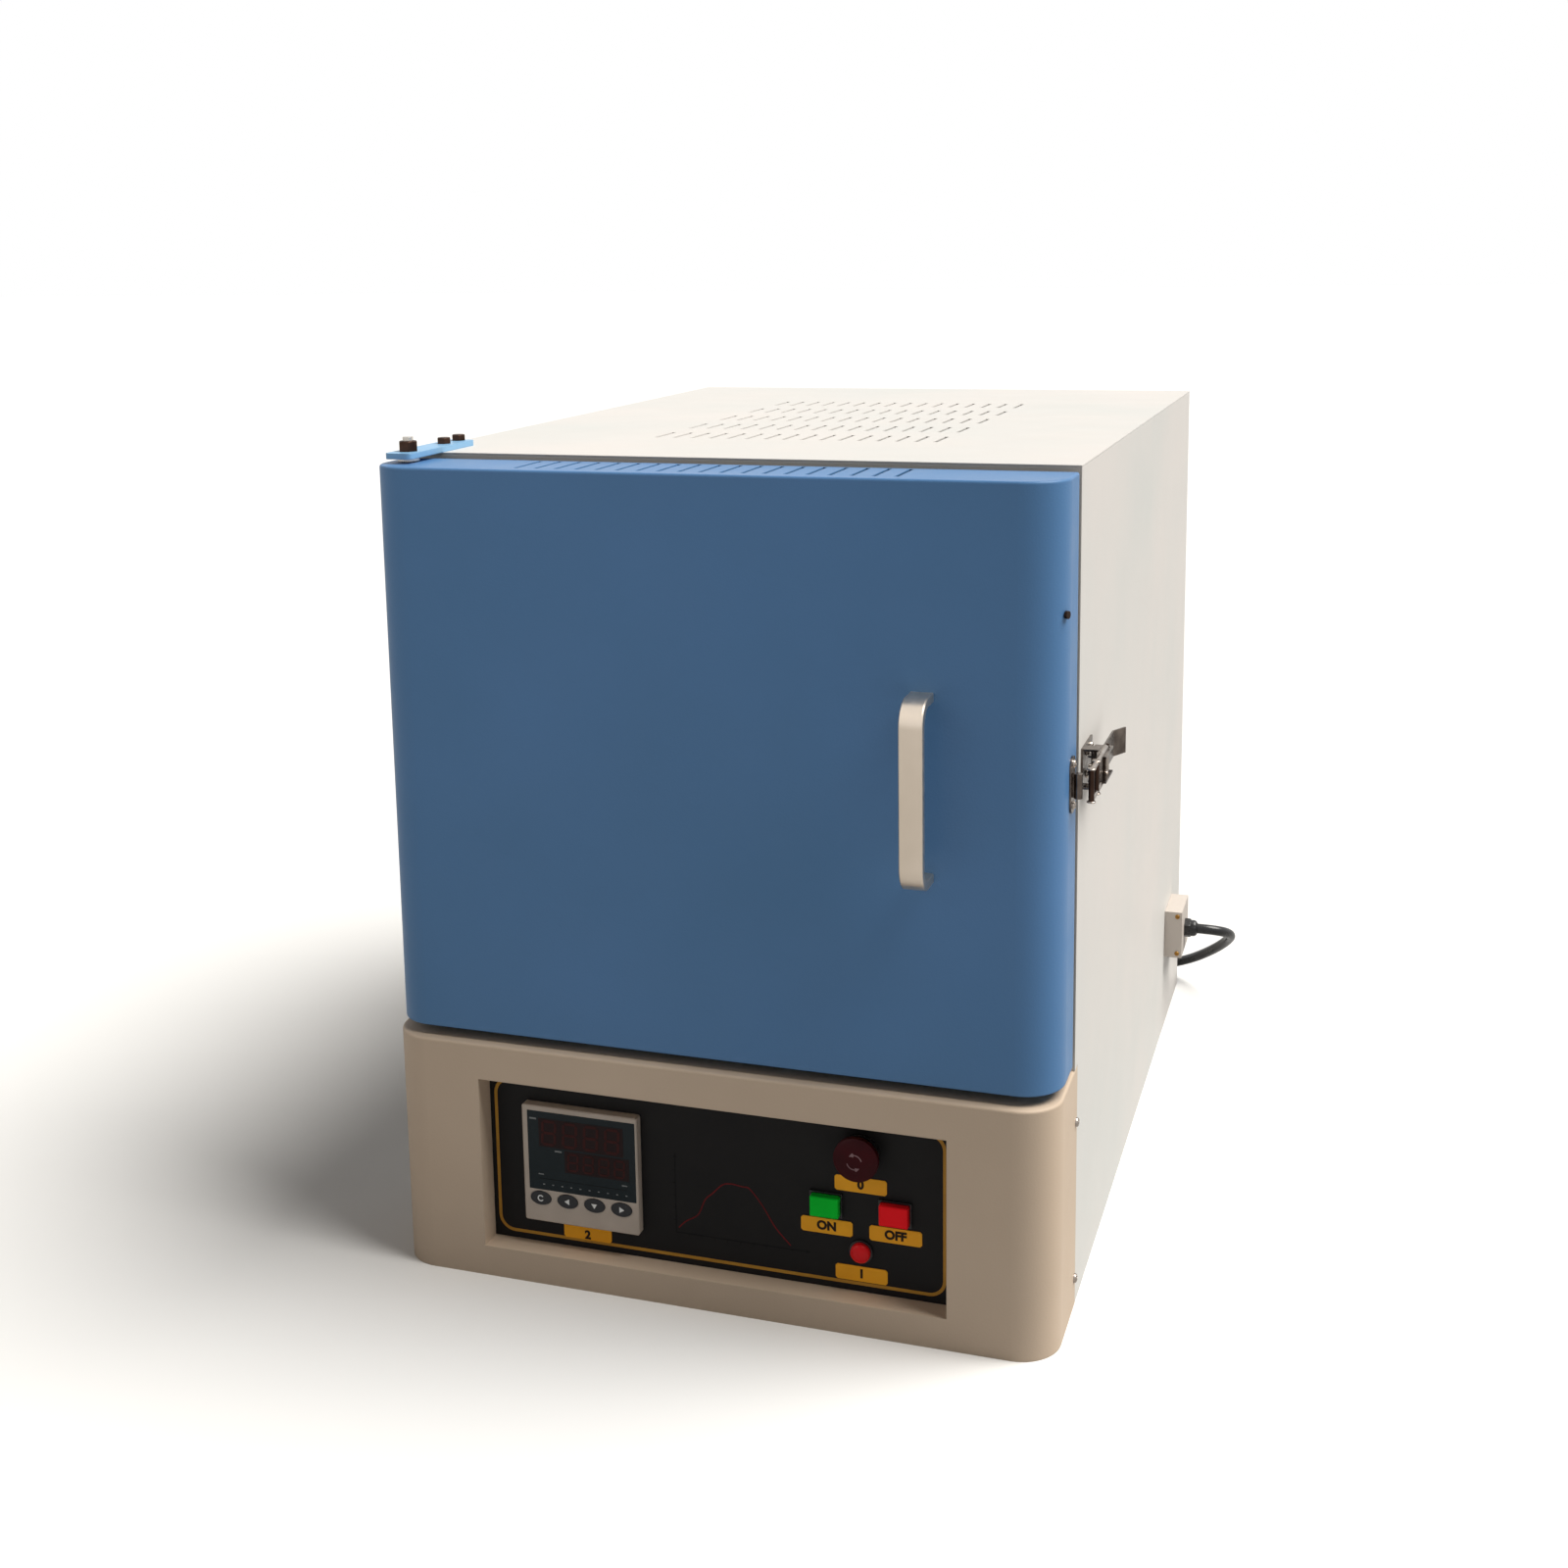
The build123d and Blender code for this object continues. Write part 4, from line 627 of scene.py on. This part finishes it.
LAMP = middle("lamp_lens")
LAMP_BACK_Y = high("lamp_lens")[1]
LAMP_T = LAMP_BACK_Y - low("lamp_lens")[1]
LAMP_R = (high("lamp_lens") - low("lamp_lens"))[0] / 2
LAMP_SKIRT = 2.2 * MM
angle = np.radians(np.linspace(0, 89.5, 14))
lens_along = LAMP_SKIRT + (LAMP_T - LAMP_SKIRT) * np.sin(angle)
lens = np.stack([lens_along, LAMP_R * np.cos(angle)], axis=1)
lens_profile = np.concatenate([[(0, TIP), (0, LAMP_R)], lens])
lamp_dome = closed(turned(lens_profile, (LAMP[0], LAMP_BACK_Y, LAMP[2]), FRONT, 72))
grid_piece("lamp_dome", [lamp_dome], lamp_plastic, "cabinet", ["lamp_lens"])


# ---------------------------------------------------------------- screws and bolts
def islands(name):
    """The boxes of a CAD node's separate solids.

    Corners at the same place are one point. Each point takes the lowest number among the points
    it shares an edge with, until nothing changes, so that each solid ends with one number."""
    mesh = nodes[name].data
    points = np.empty(len(mesh.vertices) * 3)
    mesh.vertices.foreach_get("co", points)
    points = points.reshape(-1, 3)
    edges = np.empty(len(mesh.edges) * 2, int)
    mesh.edges.foreach_get("vertices", edges)
    _, same = np.unique(np.round(points, 6), axis=0, return_inverse=True)
    same = same.ravel()
    a, b = same[edges.reshape(-1, 2)].T
    label = np.arange(same.max() + 1)
    while True:
        lowest = np.minimum(label[a], label[b])
        after = label.copy()
        np.minimum.at(after, a, lowest)
        np.minimum.at(after, b, lowest)
        if (after == label).all():
            break
        label = after
    groups = label[same]
    return [(points[groups == g].min(0), points[groups == g].max(0)) for g in np.unique(groups)]


def pan_head(foot, outward, radius, height):
    """A pan head with a cross recess.

    Over shares s of the radius, the height is height * sqrt(1 - s^5). A cross is cut into it: its
    depth grows from nothing at its outline to half the height over the width of its wall. The
    outline holds the points whose distances along the two arms are within the arm's length and
    half its width."""
    steps, arm, width, wall = 48, 0.56, 0.13, 0.05
    share = np.concatenate([np.linspace(0.01, 0.6, 13), np.linspace(0.66, 1.0, 10)])
    rows = turned(np.stack([share * 0, share * radius], axis=1), foot, outward, steps)
    angle = np.linspace(0, 2 * math.pi, steps, endpoint=False)
    u = np.abs(share[:, None] * np.cos(angle))
    v = np.abs(share[:, None] * np.sin(angle))
    inside = np.maximum(np.minimum(arm - u, width - v), np.minimum(width - u, arm - v))
    recess = 0.5 * np.clip(inside / wall, 0, 1)
    rise = height * (np.sqrt(1 - share**5)[:, None] - recess)
    rows = rows + rise[..., None] * np.array(outward, float)
    base = np.broadcast_to(np.array(foot), rows[:1].shape)
    return np.concatenate([closed(rows)[:-1], base])


def heads_of(name, carrier):
    """The seat, outward direction, radius and height of each screw head in a CAD node.

    A head is thinnest along its axis, and points away from the middle of the node that holds it."""
    core = middle(carrier)
    heads = []
    for lo, hi in islands(name):
        size = hi - lo
        axis = int(np.argmin(size))
        seat = (lo + hi) / 2
        sign = 1.0 if seat[axis] > core[axis] else -1.0
        seat[axis] = lo[axis] if sign > 0 else hi[axis]
        heads.append((seat, sign * np.eye(3)[axis], size.max() / 2, size[axis]))
    return heads


SCREWS = (("casing_screws", "casing_top", "cabinet", bright_steel),
          ("latch_screws", "casing_top", "cabinet", bright_steel),
          ("terminal_screws", "terminal_box", "cabinet", brass_screw),
          ("keeper_screws", "door_shell", "door", bright_steel))
for name, carrier, body, metal in SCREWS:
    heads = [pan_head(*head) for head in heads_of(name, carrier)]
    grid_piece(name + "_heads", heads, metal, body, [name])


def hex_head(foot, across, height, hole=0.0):
    """A hexagon head or nut on its foot, whose top corners are turned off by a 30 degree cone."""
    bore = max(hole, TIP)
    corner = across / math.sqrt(3)
    flat_top = across * 0.46
    slope = corner - flat_top
    fall = slope * math.tan(math.radians(30))
    profile = [(0, bore), (0, corner), (height - fall, corner)]
    profile += [(height - fall * (1 - t), corner - slope * t) for t in (0.35, 0.7, 1.0)]
    profile += [(height, flat_top * 0.9), (height + 0.3 * MM, bore)]
    rows = turned(profile, foot, UP, 96, hexagon(across))
    return np.concatenate([rows, rows[:1]]) if hole else closed(rows)


PIVOT = middle("hinge_bushes")
BAR_TOP = high("hinge_bar")[2]
PIVOT_R = 4.0 * MM
PIVOT_NUT = (13.2 * MM, 8.0 * MM)
BOLT_HEAD = (9.8 * MM, 4.8 * MM)
BOLTS_BEHIND = (58 * MM, 83 * MM)
SHANK = [(-14.5 * MM, 2.2 * MM), (-14.0 * MM, 2.9 * MM), (0.1 * MM, 2.9 * MM)]
bolt_feet = [(PIVOT[0], PIVOT[1] + behind, BAR_TOP) for behind in BOLTS_BEHIND]
heads = [hex_head((PIVOT[0], PIVOT[1], BAR_TOP), *PIVOT_NUT, PIVOT_R)]
heads += [hex_head(foot, *BOLT_HEAD) for foot in bolt_feet]
shanks = [closed(turned(SHANK, foot, UP, 32)) for foot in bolt_feet]
grid_piece("hinge_bolt_heads", heads + shanks, dark_steel, "cabinet",
           ["hinge_bolts"], crease=25)

# ---------------------------------------------------------------- latch link
LINK_LOW, LINK_HIGH = low("latch_link"), high("latch_link")
LINK_WIRE_R = 1.9 * MM
LINK_BEND_R = 4 * MM
BAR_R = 2.5 * MM
ROLLER_R, ROLLER_INSET = 3.2 * MM, 0.8 * MM
ROLLER_WAIST, ROLLER_FLARE = 0.65, 0.4
PIN_R = 1.7 * MM
CAP_T, CAP_EDGE = 1.2 * MM, 0.3 * MM
LINK_X = LINK_LOW[0] + BAR_R
PIN_X, PIN_Y = 277.2 * MM, LINK_HIGH[1] - BAR_R
MID_BAR_Y = PIN_Y - 48 * MM
END_BAR_Y = PIN_Y - 70 * MM


def round_bar(path, radius, steps=16):
    """A round bar carried along a path: at each point a circle square to the path's tangent."""
    tangent = unit(np.gradient(path, axis=0))
    u = unit(np.cross(tangent, np.array([1.0, 0.0, 0.0])))
    v = np.cross(tangent, u)
    angle = np.linspace(0, 2 * math.pi, steps, endpoint=False)[None, :, None]
    return path[:, None] + radius * (np.cos(angle) * u[:, None] + np.sin(angle) * v[:, None])


bend = rounded_frame(END_BAR_Y, PIN_Y, LINK_LOW[2] + LINK_WIRE_R, LINK_HIGH[2] - LINK_WIRE_R,
                     LINK_BEND_R)
bend = np.insert(np.concatenate([bend, bend[:1]]), 0, LINK_X, axis=1)
loop = round_bar(np.concatenate([bend[-2:-1], bend, bend[1:2]]), LINK_WIRE_R)[1:-1]
grid_piece("latch_link_loop", [loop], bright_steel, "latch_link_body",
           ["latch_link"])


def roller(x, y, radius, inset=0.0):
    """An upright roller, waisted like a spool: a straight wall at the waist's share of the
    radius, which flares to the full radius at each end along a quarter ellipse."""
    foot, length = LINK_LOW[2] + inset, LINK_HIGH[2] - LINK_LOW[2] - 2 * inset
    angle = np.radians(np.linspace(90, 1, 6))
    along = ROLLER_FLARE * radius * (1 - np.sin(angle))
    across = radius * (1 - (1 - ROLLER_WAIST) * np.cos(angle))
    profile = np.concatenate([[(0, TIP)], np.stack([along, across], axis=1),
                              np.stack([length - along, across], axis=1)[::-1], [(length, TIP)]])
    return closed(turned(profile, (x, y, foot), UP, 32))


def caps(x, y, radius):
    """A flat washer with a turned edge on each end of a roller."""
    profile = [(0, TIP), (0, radius - CAP_EDGE), (CAP_EDGE, radius), (CAP_T - CAP_EDGE, radius),
               (CAP_T, radius - CAP_EDGE), (CAP_T, TIP)]
    return [closed(turned(profile, (x, y, z), UP, 32)) for z in (LINK_LOW[2], LINK_HIGH[2] - CAP_T)]


bars_y = (END_BAR_Y, MID_BAR_Y)
rollers = [roller(LINK_X, y, ROLLER_R, ROLLER_INSET) for y in bars_y]
rollers.append(roller(PIN_X, PIN_Y, PIN_R))
grid_piece("latch_rollers", rollers, dark_steel, "latch_link_body")
roller_caps = [cap for y in bars_y for cap in caps(LINK_X, y, ROLLER_R)]
grid_piece("latch_roller_caps", roller_caps, bright_steel, "latch_link_body")

# ---------------------------------------------------------------- heating coils
COIL_R = 3.5 * MM
WIRE_R = 0.55 * MM
COIL_PITCH = 4.6 * MM
TURN_STEPS = 12


def evenly(path, step):
    """A path sampled at even steps: the lengths along it, and the point at each of them."""
    length = np.concatenate([[0], np.cumsum(np.linalg.norm(np.diff(path, axis=0), axis=1))])
    s = np.arange(0, length[-1], step)
    return s, np.stack([np.interp(s, length, path[:, i]) for i in range(3)], axis=1)


def wound_wire(path, radius, pitch, wire_r, across):
    """A round wire wound as a helix about a path that lies square to the direction across.

    At length s along the path the helix is path + radius * (cos(p) * across + sin(p) * n), with
    p = 2 pi s / pitch and n the path's normal. The wire is a five-sided ring carried along the
    helix, in the plane of the helix's own outward direction and its cross with the tangent."""
    s, centre = evenly(path, pitch / TURN_STEPS)
    along = unit(np.gradient(centre, axis=0))
    normal = unit(np.cross(along, across))
    phase = (2 * math.pi * s / pitch)[:, None]
    outward = np.cos(phase) * np.array(across) + np.sin(phase) * normal
    line = centre + radius * outward
    tangent = unit(np.gradient(line, axis=0))
    outward = unit(outward - (outward * tangent).sum(1, keepdims=True) * tangent)
    other = np.cross(tangent, outward)
    angle = np.linspace(0, 2 * math.pi, 5, endpoint=False)[None, :, None]
    ring = np.cos(angle) * outward[:, None] + np.sin(angle) * other[:, None]
    return closed(line[:, None] + wire_r * ring)


def softened(corners, step, reach):
    """A path through corners, sampled at even steps and rounded by a running mean of this reach."""
    line = evenly(np.array(corners, float), step)[1]
    count = int(reach / step) | 1
    padded = np.pad(line, ((count // 2, count // 2), (0, 0)), mode="edge")
    kernel = np.ones(count) / count
    return np.stack([np.convolve(padded[:, i], kernel, "valid") for i in range(3)], axis=1)


ELEMENT_LOW, ELEMENT_HIGH = low("heating_elements"), high("heating_elements")
ELEMENT_ROWS = 4
ROW_INSET = 3.0 * MM
COIL_INSET = 4.4 * MM
RUN_L = 344 * MM
PATH_STEP = 1.0 * MM
PATH_BEND = 9 * MM
row_z = np.linspace(ELEMENT_LOW[2] + ROW_INSET, ELEMENT_HIGH[2] - ROW_INSET, ELEMENT_ROWS)
front_y = ELEMENT_LOW[1] + ROW_INSET
bend_y = front_y + RUN_L
back_y = ELEMENT_HIGH[1]
for side, name in ((-1, "left"), (1, "right")):
    x = side * (ELEMENT_HIGH[0] - COIL_INSET)
    corners = [(x, back_y, row_z[0]), (x, front_y, row_z[0]), (x, front_y, row_z[1]),
               (x, bend_y, row_z[1]), (x, bend_y, row_z[2]), (x, front_y, row_z[2]),
               (x, front_y, row_z[3]), (x, back_y, row_z[3])]
    coil = wound_wire(softened(corners, PATH_STEP, PATH_BEND), COIL_R, COIL_PITCH, WIRE_R, RIGHT)
    replaced = ["heating_elements"] if side > 0 else []
    grid_piece(f"heating_coil_{name}", [coil], element_wire, "cabinet",
               replaced, crease=60)

# ---------------------------------------------------------------- cable gland and plug
GLAND_LOW, GLAND_HIGH = low("cable_gland"), high("cable_gland")
GLAND = middle("cable_gland")
GLAND_L = GLAND_HIGH[0] - GLAND_LOW[0]
GLAND_BORE = 5.2 * MM
CORD_D = 10 * MM
NUT_L, NUT_R, NUT_EDGE = 6 * MM, 10 * MM, 0.8 * MM
NUT_ACROSS = GLAND_HIGH[2] - GLAND_LOW[2]
CAP_START = NUT_L - 0.4 * MM
CAP_R, CAP_BORE, CAP_MOUTH = 8.2 * MM, 5.1 * MM, 5.15 * MM
CAP_WALL = 2.0 * MM
SHOULDER, SHOULDER_R = (NUT_L + 2.6 * MM, 4.2 * MM), 4.0 * MM
FLUTES = 12


def fluted(radii, angle):
    """Grips round a cap: the radius dips by 3 % at each of its flutes."""
    return radii * (1 - 0.03 * (0.5 + 0.5 * np.cos(FLUTES * angle)) ** 4)


nut = [(0, GLAND_BORE), (0, NUT_R - NUT_EDGE), (0.6 * MM, NUT_R), (NUT_L - NUT_EDGE, NUT_R),
       (NUT_L, NUT_R - NUT_EDGE), (NUT_L, GLAND_BORE)]
cap = np.concatenate([
    [(CAP_START, CAP_BORE), (CAP_START, CAP_R), (NUT_L + CAP_WALL, CAP_R)],
    rounded(SHOULDER, SHOULDER_R, 80, 12, 10), [(GLAND_L, CAP_MOUTH)]])
gland_foot = (GLAND_LOW[0], GLAND[1], GLAND[2])
gland = [closed(turned(nut, gland_foot, RIGHT, 96, hexagon(NUT_ACROSS))),
         closed(turned(cap, gland_foot, RIGHT, 96, fluted))]
grid_piece("gland_nut_and_cap", gland, black_plastic, "cabinet",
           ["cable_gland"], crease=30)

PLUG_LOW, PLUG_HIGH = low("mains_plug"), high("mains_plug")
PLUG = middle("mains_plug")
RELIEF_L = 24 * MM
RELIEF_R, RELIEF_GROWS = 5.9 * MM, 1.6 * MM
RIBS = 6
RIB_T = 0.5 * MM


def oblong(x, half_w, half_h, power, centre, steps=64):
    """Sections across X that are superellipses: |y / w|^n + |z / h|^n = 1 at every x."""
    angle = np.linspace(0, 2 * math.pi, steps, endpoint=False)
    c, s = np.cos(angle), np.sin(angle)
    x, half_w, half_h, power = (np.broadcast_to(value, np.shape(x))[:, None]
                                for value in (x, half_w, half_h, power))
    y = half_w * np.sign(c) * np.abs(c) ** (2 / power)
    z = half_h * np.sign(s) * np.abs(s) ** (2 / power)
    return np.stack([np.broadcast_to(x, y.shape), centre[0] + y, centre[1] + z], axis=-1)


relief_s = np.linspace(0, 1, 61)
ribs = RIB_T * (np.sin(2 * math.pi * RIBS * relief_s) > 0)
relief_r = RELIEF_R + RELIEF_GROWS * relief_s + ribs
relief = oblong(PLUG_LOW[0] + relief_s * RELIEF_L, relief_r, relief_r, 2.0, PLUG[1:])

# sections of the plug's body: the share of its length, and half its width and height in mm; the
# widths that rise and fall by 1 mm are its grips. Round at the lead, it is square from 0.3 on.
BODY = np.array([
    (0, 7, 7), (0.02, 8, 8), (0.06, 9, 9), (0.15, 12, 11.5), (0.3, 15.5, 14.5), (0.34, 16, 15),
    (0.4, 15, 15.2), (0.46, 16, 15.4), (0.52, 15, 15.6), (0.58, 16, 15.7), (0.64, 15, 15.8),
    (0.7, 16, 15.9), (0.76, 15, 16), (0.8, 16.5, 16.2), (0.95, 16.8, 16.3), (0.985, 16.3, 16),
    (1, 15.4, 15)])
body_x = PLUG_LOW[0] + RELIEF_L + BODY[:, 0] * (PLUG_HIGH[0] - PLUG_LOW[0] - RELIEF_L)
body_n = 2.0 + 2.0 * np.clip(BODY[:, 0] / 0.3, 0, 1)
plug_body = oblong(body_x, BODY[:, 1] * MM, BODY[:, 2] * MM, body_n, PLUG[1:])
grid_piece("moulded_plug", [closed(relief), closed(plug_body)], plug_rubber, "cabinet",
           ["mains_plug"], crease=30)

# ---------------------------------------------------------------- mains cord
COIL_X, COIL_Y = 60 * MM, 470 * MM
COIL_MEAN_R = 57.5 * MM
COIL_LOW_Z = 6.8 * MM
TAIL_L = 41 * MM
NEAR_Y = COIL_Y - COIL_MEAN_R - CORD_D / 2
FAR_Y = COIL_Y + COIL_MEAN_R + CORD_D / 2
# out of the gland, back and down beside the casing, and along the floor behind it
ROUTE = [
    (GLAND_HIGH[0], GLAND[1], GLAND[2]),
    (0.309, GLAND[1], GLAND[2]),
    (0.323, 0.305, 0.090),
    (0.322, 0.335, 0.074),
    (0.303, 0.368, 0.048),
    (0.272, 0.396, 0.022),
    (0.237, 0.412, 0.007),
    (0.201, 0.417, 0.005),
    (0.163, 0.413, 0.0052),
    (0.128, NEAR_Y, COIL_LOW_Z),
    (COIL_X + TAIL_L, NEAR_Y, COIL_LOW_Z),
]
COIL_STEPS = 16
COIL_TURNS = 3.5
LAYERS = np.array([(0.5, 0), (-0.5, 0), (-0.5, 1), (0.5, 1)])
EASE = 0.25


def coil_turns():
    """The coil's points, clockwise from its near side.

    At turn t the angle is -90 - 360 t degrees. The radius is the mean plus or minus half a cord,
    and the height the low one or a cord above it: outer low, inner low, inner high, outer high.
    In the last quarter of each turn both change evenly to the next turn's. The spline cuts
    inside its points, so the radius grows by one over the root of cos(pi / points a turn)."""
    last = len(LAYERS) - 1
    turn = np.arange(int(COIL_TURNS * COIL_STEPS) + 1) / COIL_STEPS
    place = np.minimum(turn.astype(int), last)
    ease = np.clip((turn - place - (1 - EASE)) / EASE, 0, 1) * (place < last)
    here, after = LAYERS[place], LAYERS[np.minimum(place + 1, last)]
    side, level = (here * (1 - ease[:, None]) + after * ease[:, None]).T
    angle = np.radians(-90) - 2 * math.pi * turn
    reach = (COIL_MEAN_R + side * CORD_D) / math.cos(math.pi / COIL_STEPS) ** 0.5
    return np.stack([COIL_X + reach * np.cos(angle), COIL_Y + reach * np.sin(angle),
                     COIL_LOW_Z + level * CORD_D], axis=1).tolist()


TOP_Z = COIL_LOW_Z + CORD_D
tail = [(COIL_X + TAIL_L / 2, FAR_Y, TOP_Z), (COIL_X + TAIL_L, FAR_Y, TOP_Z)]
line = ROUTE + coil_turns() + tail
cord_curve = bpy.data.curves.new("mains_cord_line", "CURVE")
cord_curve.dimensions = "3D"
cord_curve.bevel_depth = CORD_D / 2
cord_curve.bevel_resolution = 5
cord_curve.resolution_u = 6
cord_curve.use_fill_caps = True
spline = cord_curve.splines.new("NURBS")
spline.points.add(len(line) - 1)
spline.points.foreach_set("co", np.insert(np.array(line), 3, 1.0, axis=1).ravel())
spline.order_u = 3
spline.use_endpoint_u = True
cord_curve.materials.append(cord_rubber)
cord = bpy.data.objects.new("mains_cord_lead", cord_curve)
bpy.context.scene.collection.objects.link(cord)
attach(cord, "cabinet")
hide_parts("mains_cord", "cord_coil")

# ---------------------------------------------------------------- floor, lights and camera
FLOOR_HALF = 30.0
KEY_FROM = Vector((0.51, 0.13, 0.85))
KEY_STRENGTH = 4.4
KEY_ANGLE = math.radians(40)
FILL_PLACE = Vector((-1.7, -1.9, 1.7))
FILL_AIM = Vector((0, -0.3, 0.3))
FILL_POWER = 8
FILL_SIZE = 1.8


def floor_paint(seen, bounced):
    """Matt white paint. It is drawn darker for the light it throws back on the sides of the object
    than for the eye, as a studio does with black cloths outside the view."""
    mat, tree, shader = surface("matt_white_paint", seen, 1.0, Specular_IOR_Level=0.0)
    direct = add_node(tree, "LightPath").outputs["Is Camera Ray"]
    inputs = {0: direct, 6: linear(bounced), 7: linear(seen)}
    tree.links.new(add_node(tree, "Mix", inputs, data_type="RGBA").outputs[2],
                   shader.inputs["Base Color"])
    return mat


def studio_floor():
    """A wide pale floor: one flat square."""
    mesh = bpy.data.meshes.new("floor")
    corners = FLOOR_HALF * np.array([(-1, -1, 0), (1, -1, 0), (1, 1, 0), (-1, 1, 0)])
    mesh.from_pydata(corners.tolist(), [], [(0, 1, 2, 3)])
    mesh.materials.append(floor_paint("#F2F2F2", "#B4B4B4"))
    floor = bpy.data.objects.new("floor", mesh)
    bpy.context.scene.collection.objects.link(floor)
    floor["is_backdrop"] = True


def add_light(name, kind, power, colour, place, outward, **settings):
    """A light of this kind at a place, which shines against the direction outward."""
    data = bpy.data.lights.new(name, kind)
    data.energy = power
    data.color = linear(colour)[:3]
    for key, value in settings.items():
        setattr(data, key, value)
    light = bpy.data.objects.new(name, data)
    bpy.context.scene.collection.objects.link(light)
    light.location = place
    light.rotation_euler = outward.to_track_quat("Z", "Y").to_euler()


def studio_world(ambient, backdrop, mirrored):
    """A white surround: one strength for soft light, one where it is seen, one in reflections."""
    world = bpy.data.worlds.new("studio")
    world.use_nodes = True
    tree = world.node_tree
    paths = add_node(tree, "LightPath").outputs
    inputs = {0: paths["Is Camera Ray"], 1: backdrop - ambient, 2: ambient}
    soft = add_node(tree, "Math", inputs, operation="MULTIPLY_ADD").outputs["Value"]
    inputs = {0: paths["Is Glossy Ray"], 1: mirrored - ambient, 2: soft}
    strength = add_node(tree, "Math", inputs, operation="MULTIPLY_ADD").outputs["Value"]
    shader = tree.nodes["Background"]
    shader.inputs["Color"].default_value = linear("#FFFFFF")
    tree.links.new(strength, shader.inputs["Strength"])
    bpy.context.scene.world = world
    bpy.context.scene.view_settings.view_transform = "Standard"


def add_camera(place, yaw, pitch, roll, focal_px, centre_px, frame_px=1600):
    """The camera: yaw to the left, pitch down and roll in degrees, focal length in pixels."""
    yaw, pitch, roll = (math.radians(a) for a in (yaw, pitch, roll))
    forward = Vector((-math.sin(yaw) * math.cos(pitch), math.cos(yaw) * math.cos(pitch),
                      -math.sin(pitch)))
    right = forward.cross(Vector((0, 0, 1))).normalized()
    up = right.cross(forward)
    right, up = (right * math.cos(roll) + up * math.sin(roll),
                 up * math.cos(roll) - right * math.sin(roll))
    data = bpy.data.cameras.new("camera")
    data.sensor_width = 36.0
    data.lens = focal_px / frame_px * data.sensor_width
    data.shift_x = (frame_px / 2 - centre_px[0]) / frame_px
    data.shift_y = (centre_px[1] - frame_px / 2) / frame_px
    camera = bpy.data.objects.new("camera", data)
    bpy.context.scene.collection.objects.link(camera)
    axes = Matrix((right, up, -forward)).transposed().to_4x4()
    camera.matrix_world = Matrix.Translation(place) @ axes
    bpy.context.scene.camera = camera


studio_floor()
add_light("key", "SUN", KEY_STRENGTH, "#FFFCF6", (0, 0, 3), KEY_FROM, angle=KEY_ANGLE)
add_light("front_fill", "AREA", FILL_POWER, "#FFF4E6", FILL_PLACE, FILL_PLACE - FILL_AIM,
          size=FILL_SIZE)
studio_world(ambient=0.10, backdrop=1.0, mirrored=0.9)
add_camera((0.47746, -1.65083, 0.79588), yaw=18.44, pitch=9.82, roll=-0.92, focal_px=1980.04,
           centre_px=(780.72, 592.08))


def plain(value):
    """A size as nested plain lists."""
    return [plain(v) for v in value] if hasattr(value, "__len__") else float(value)


{"cad": plain(cad_size), "shown": plain(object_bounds())}
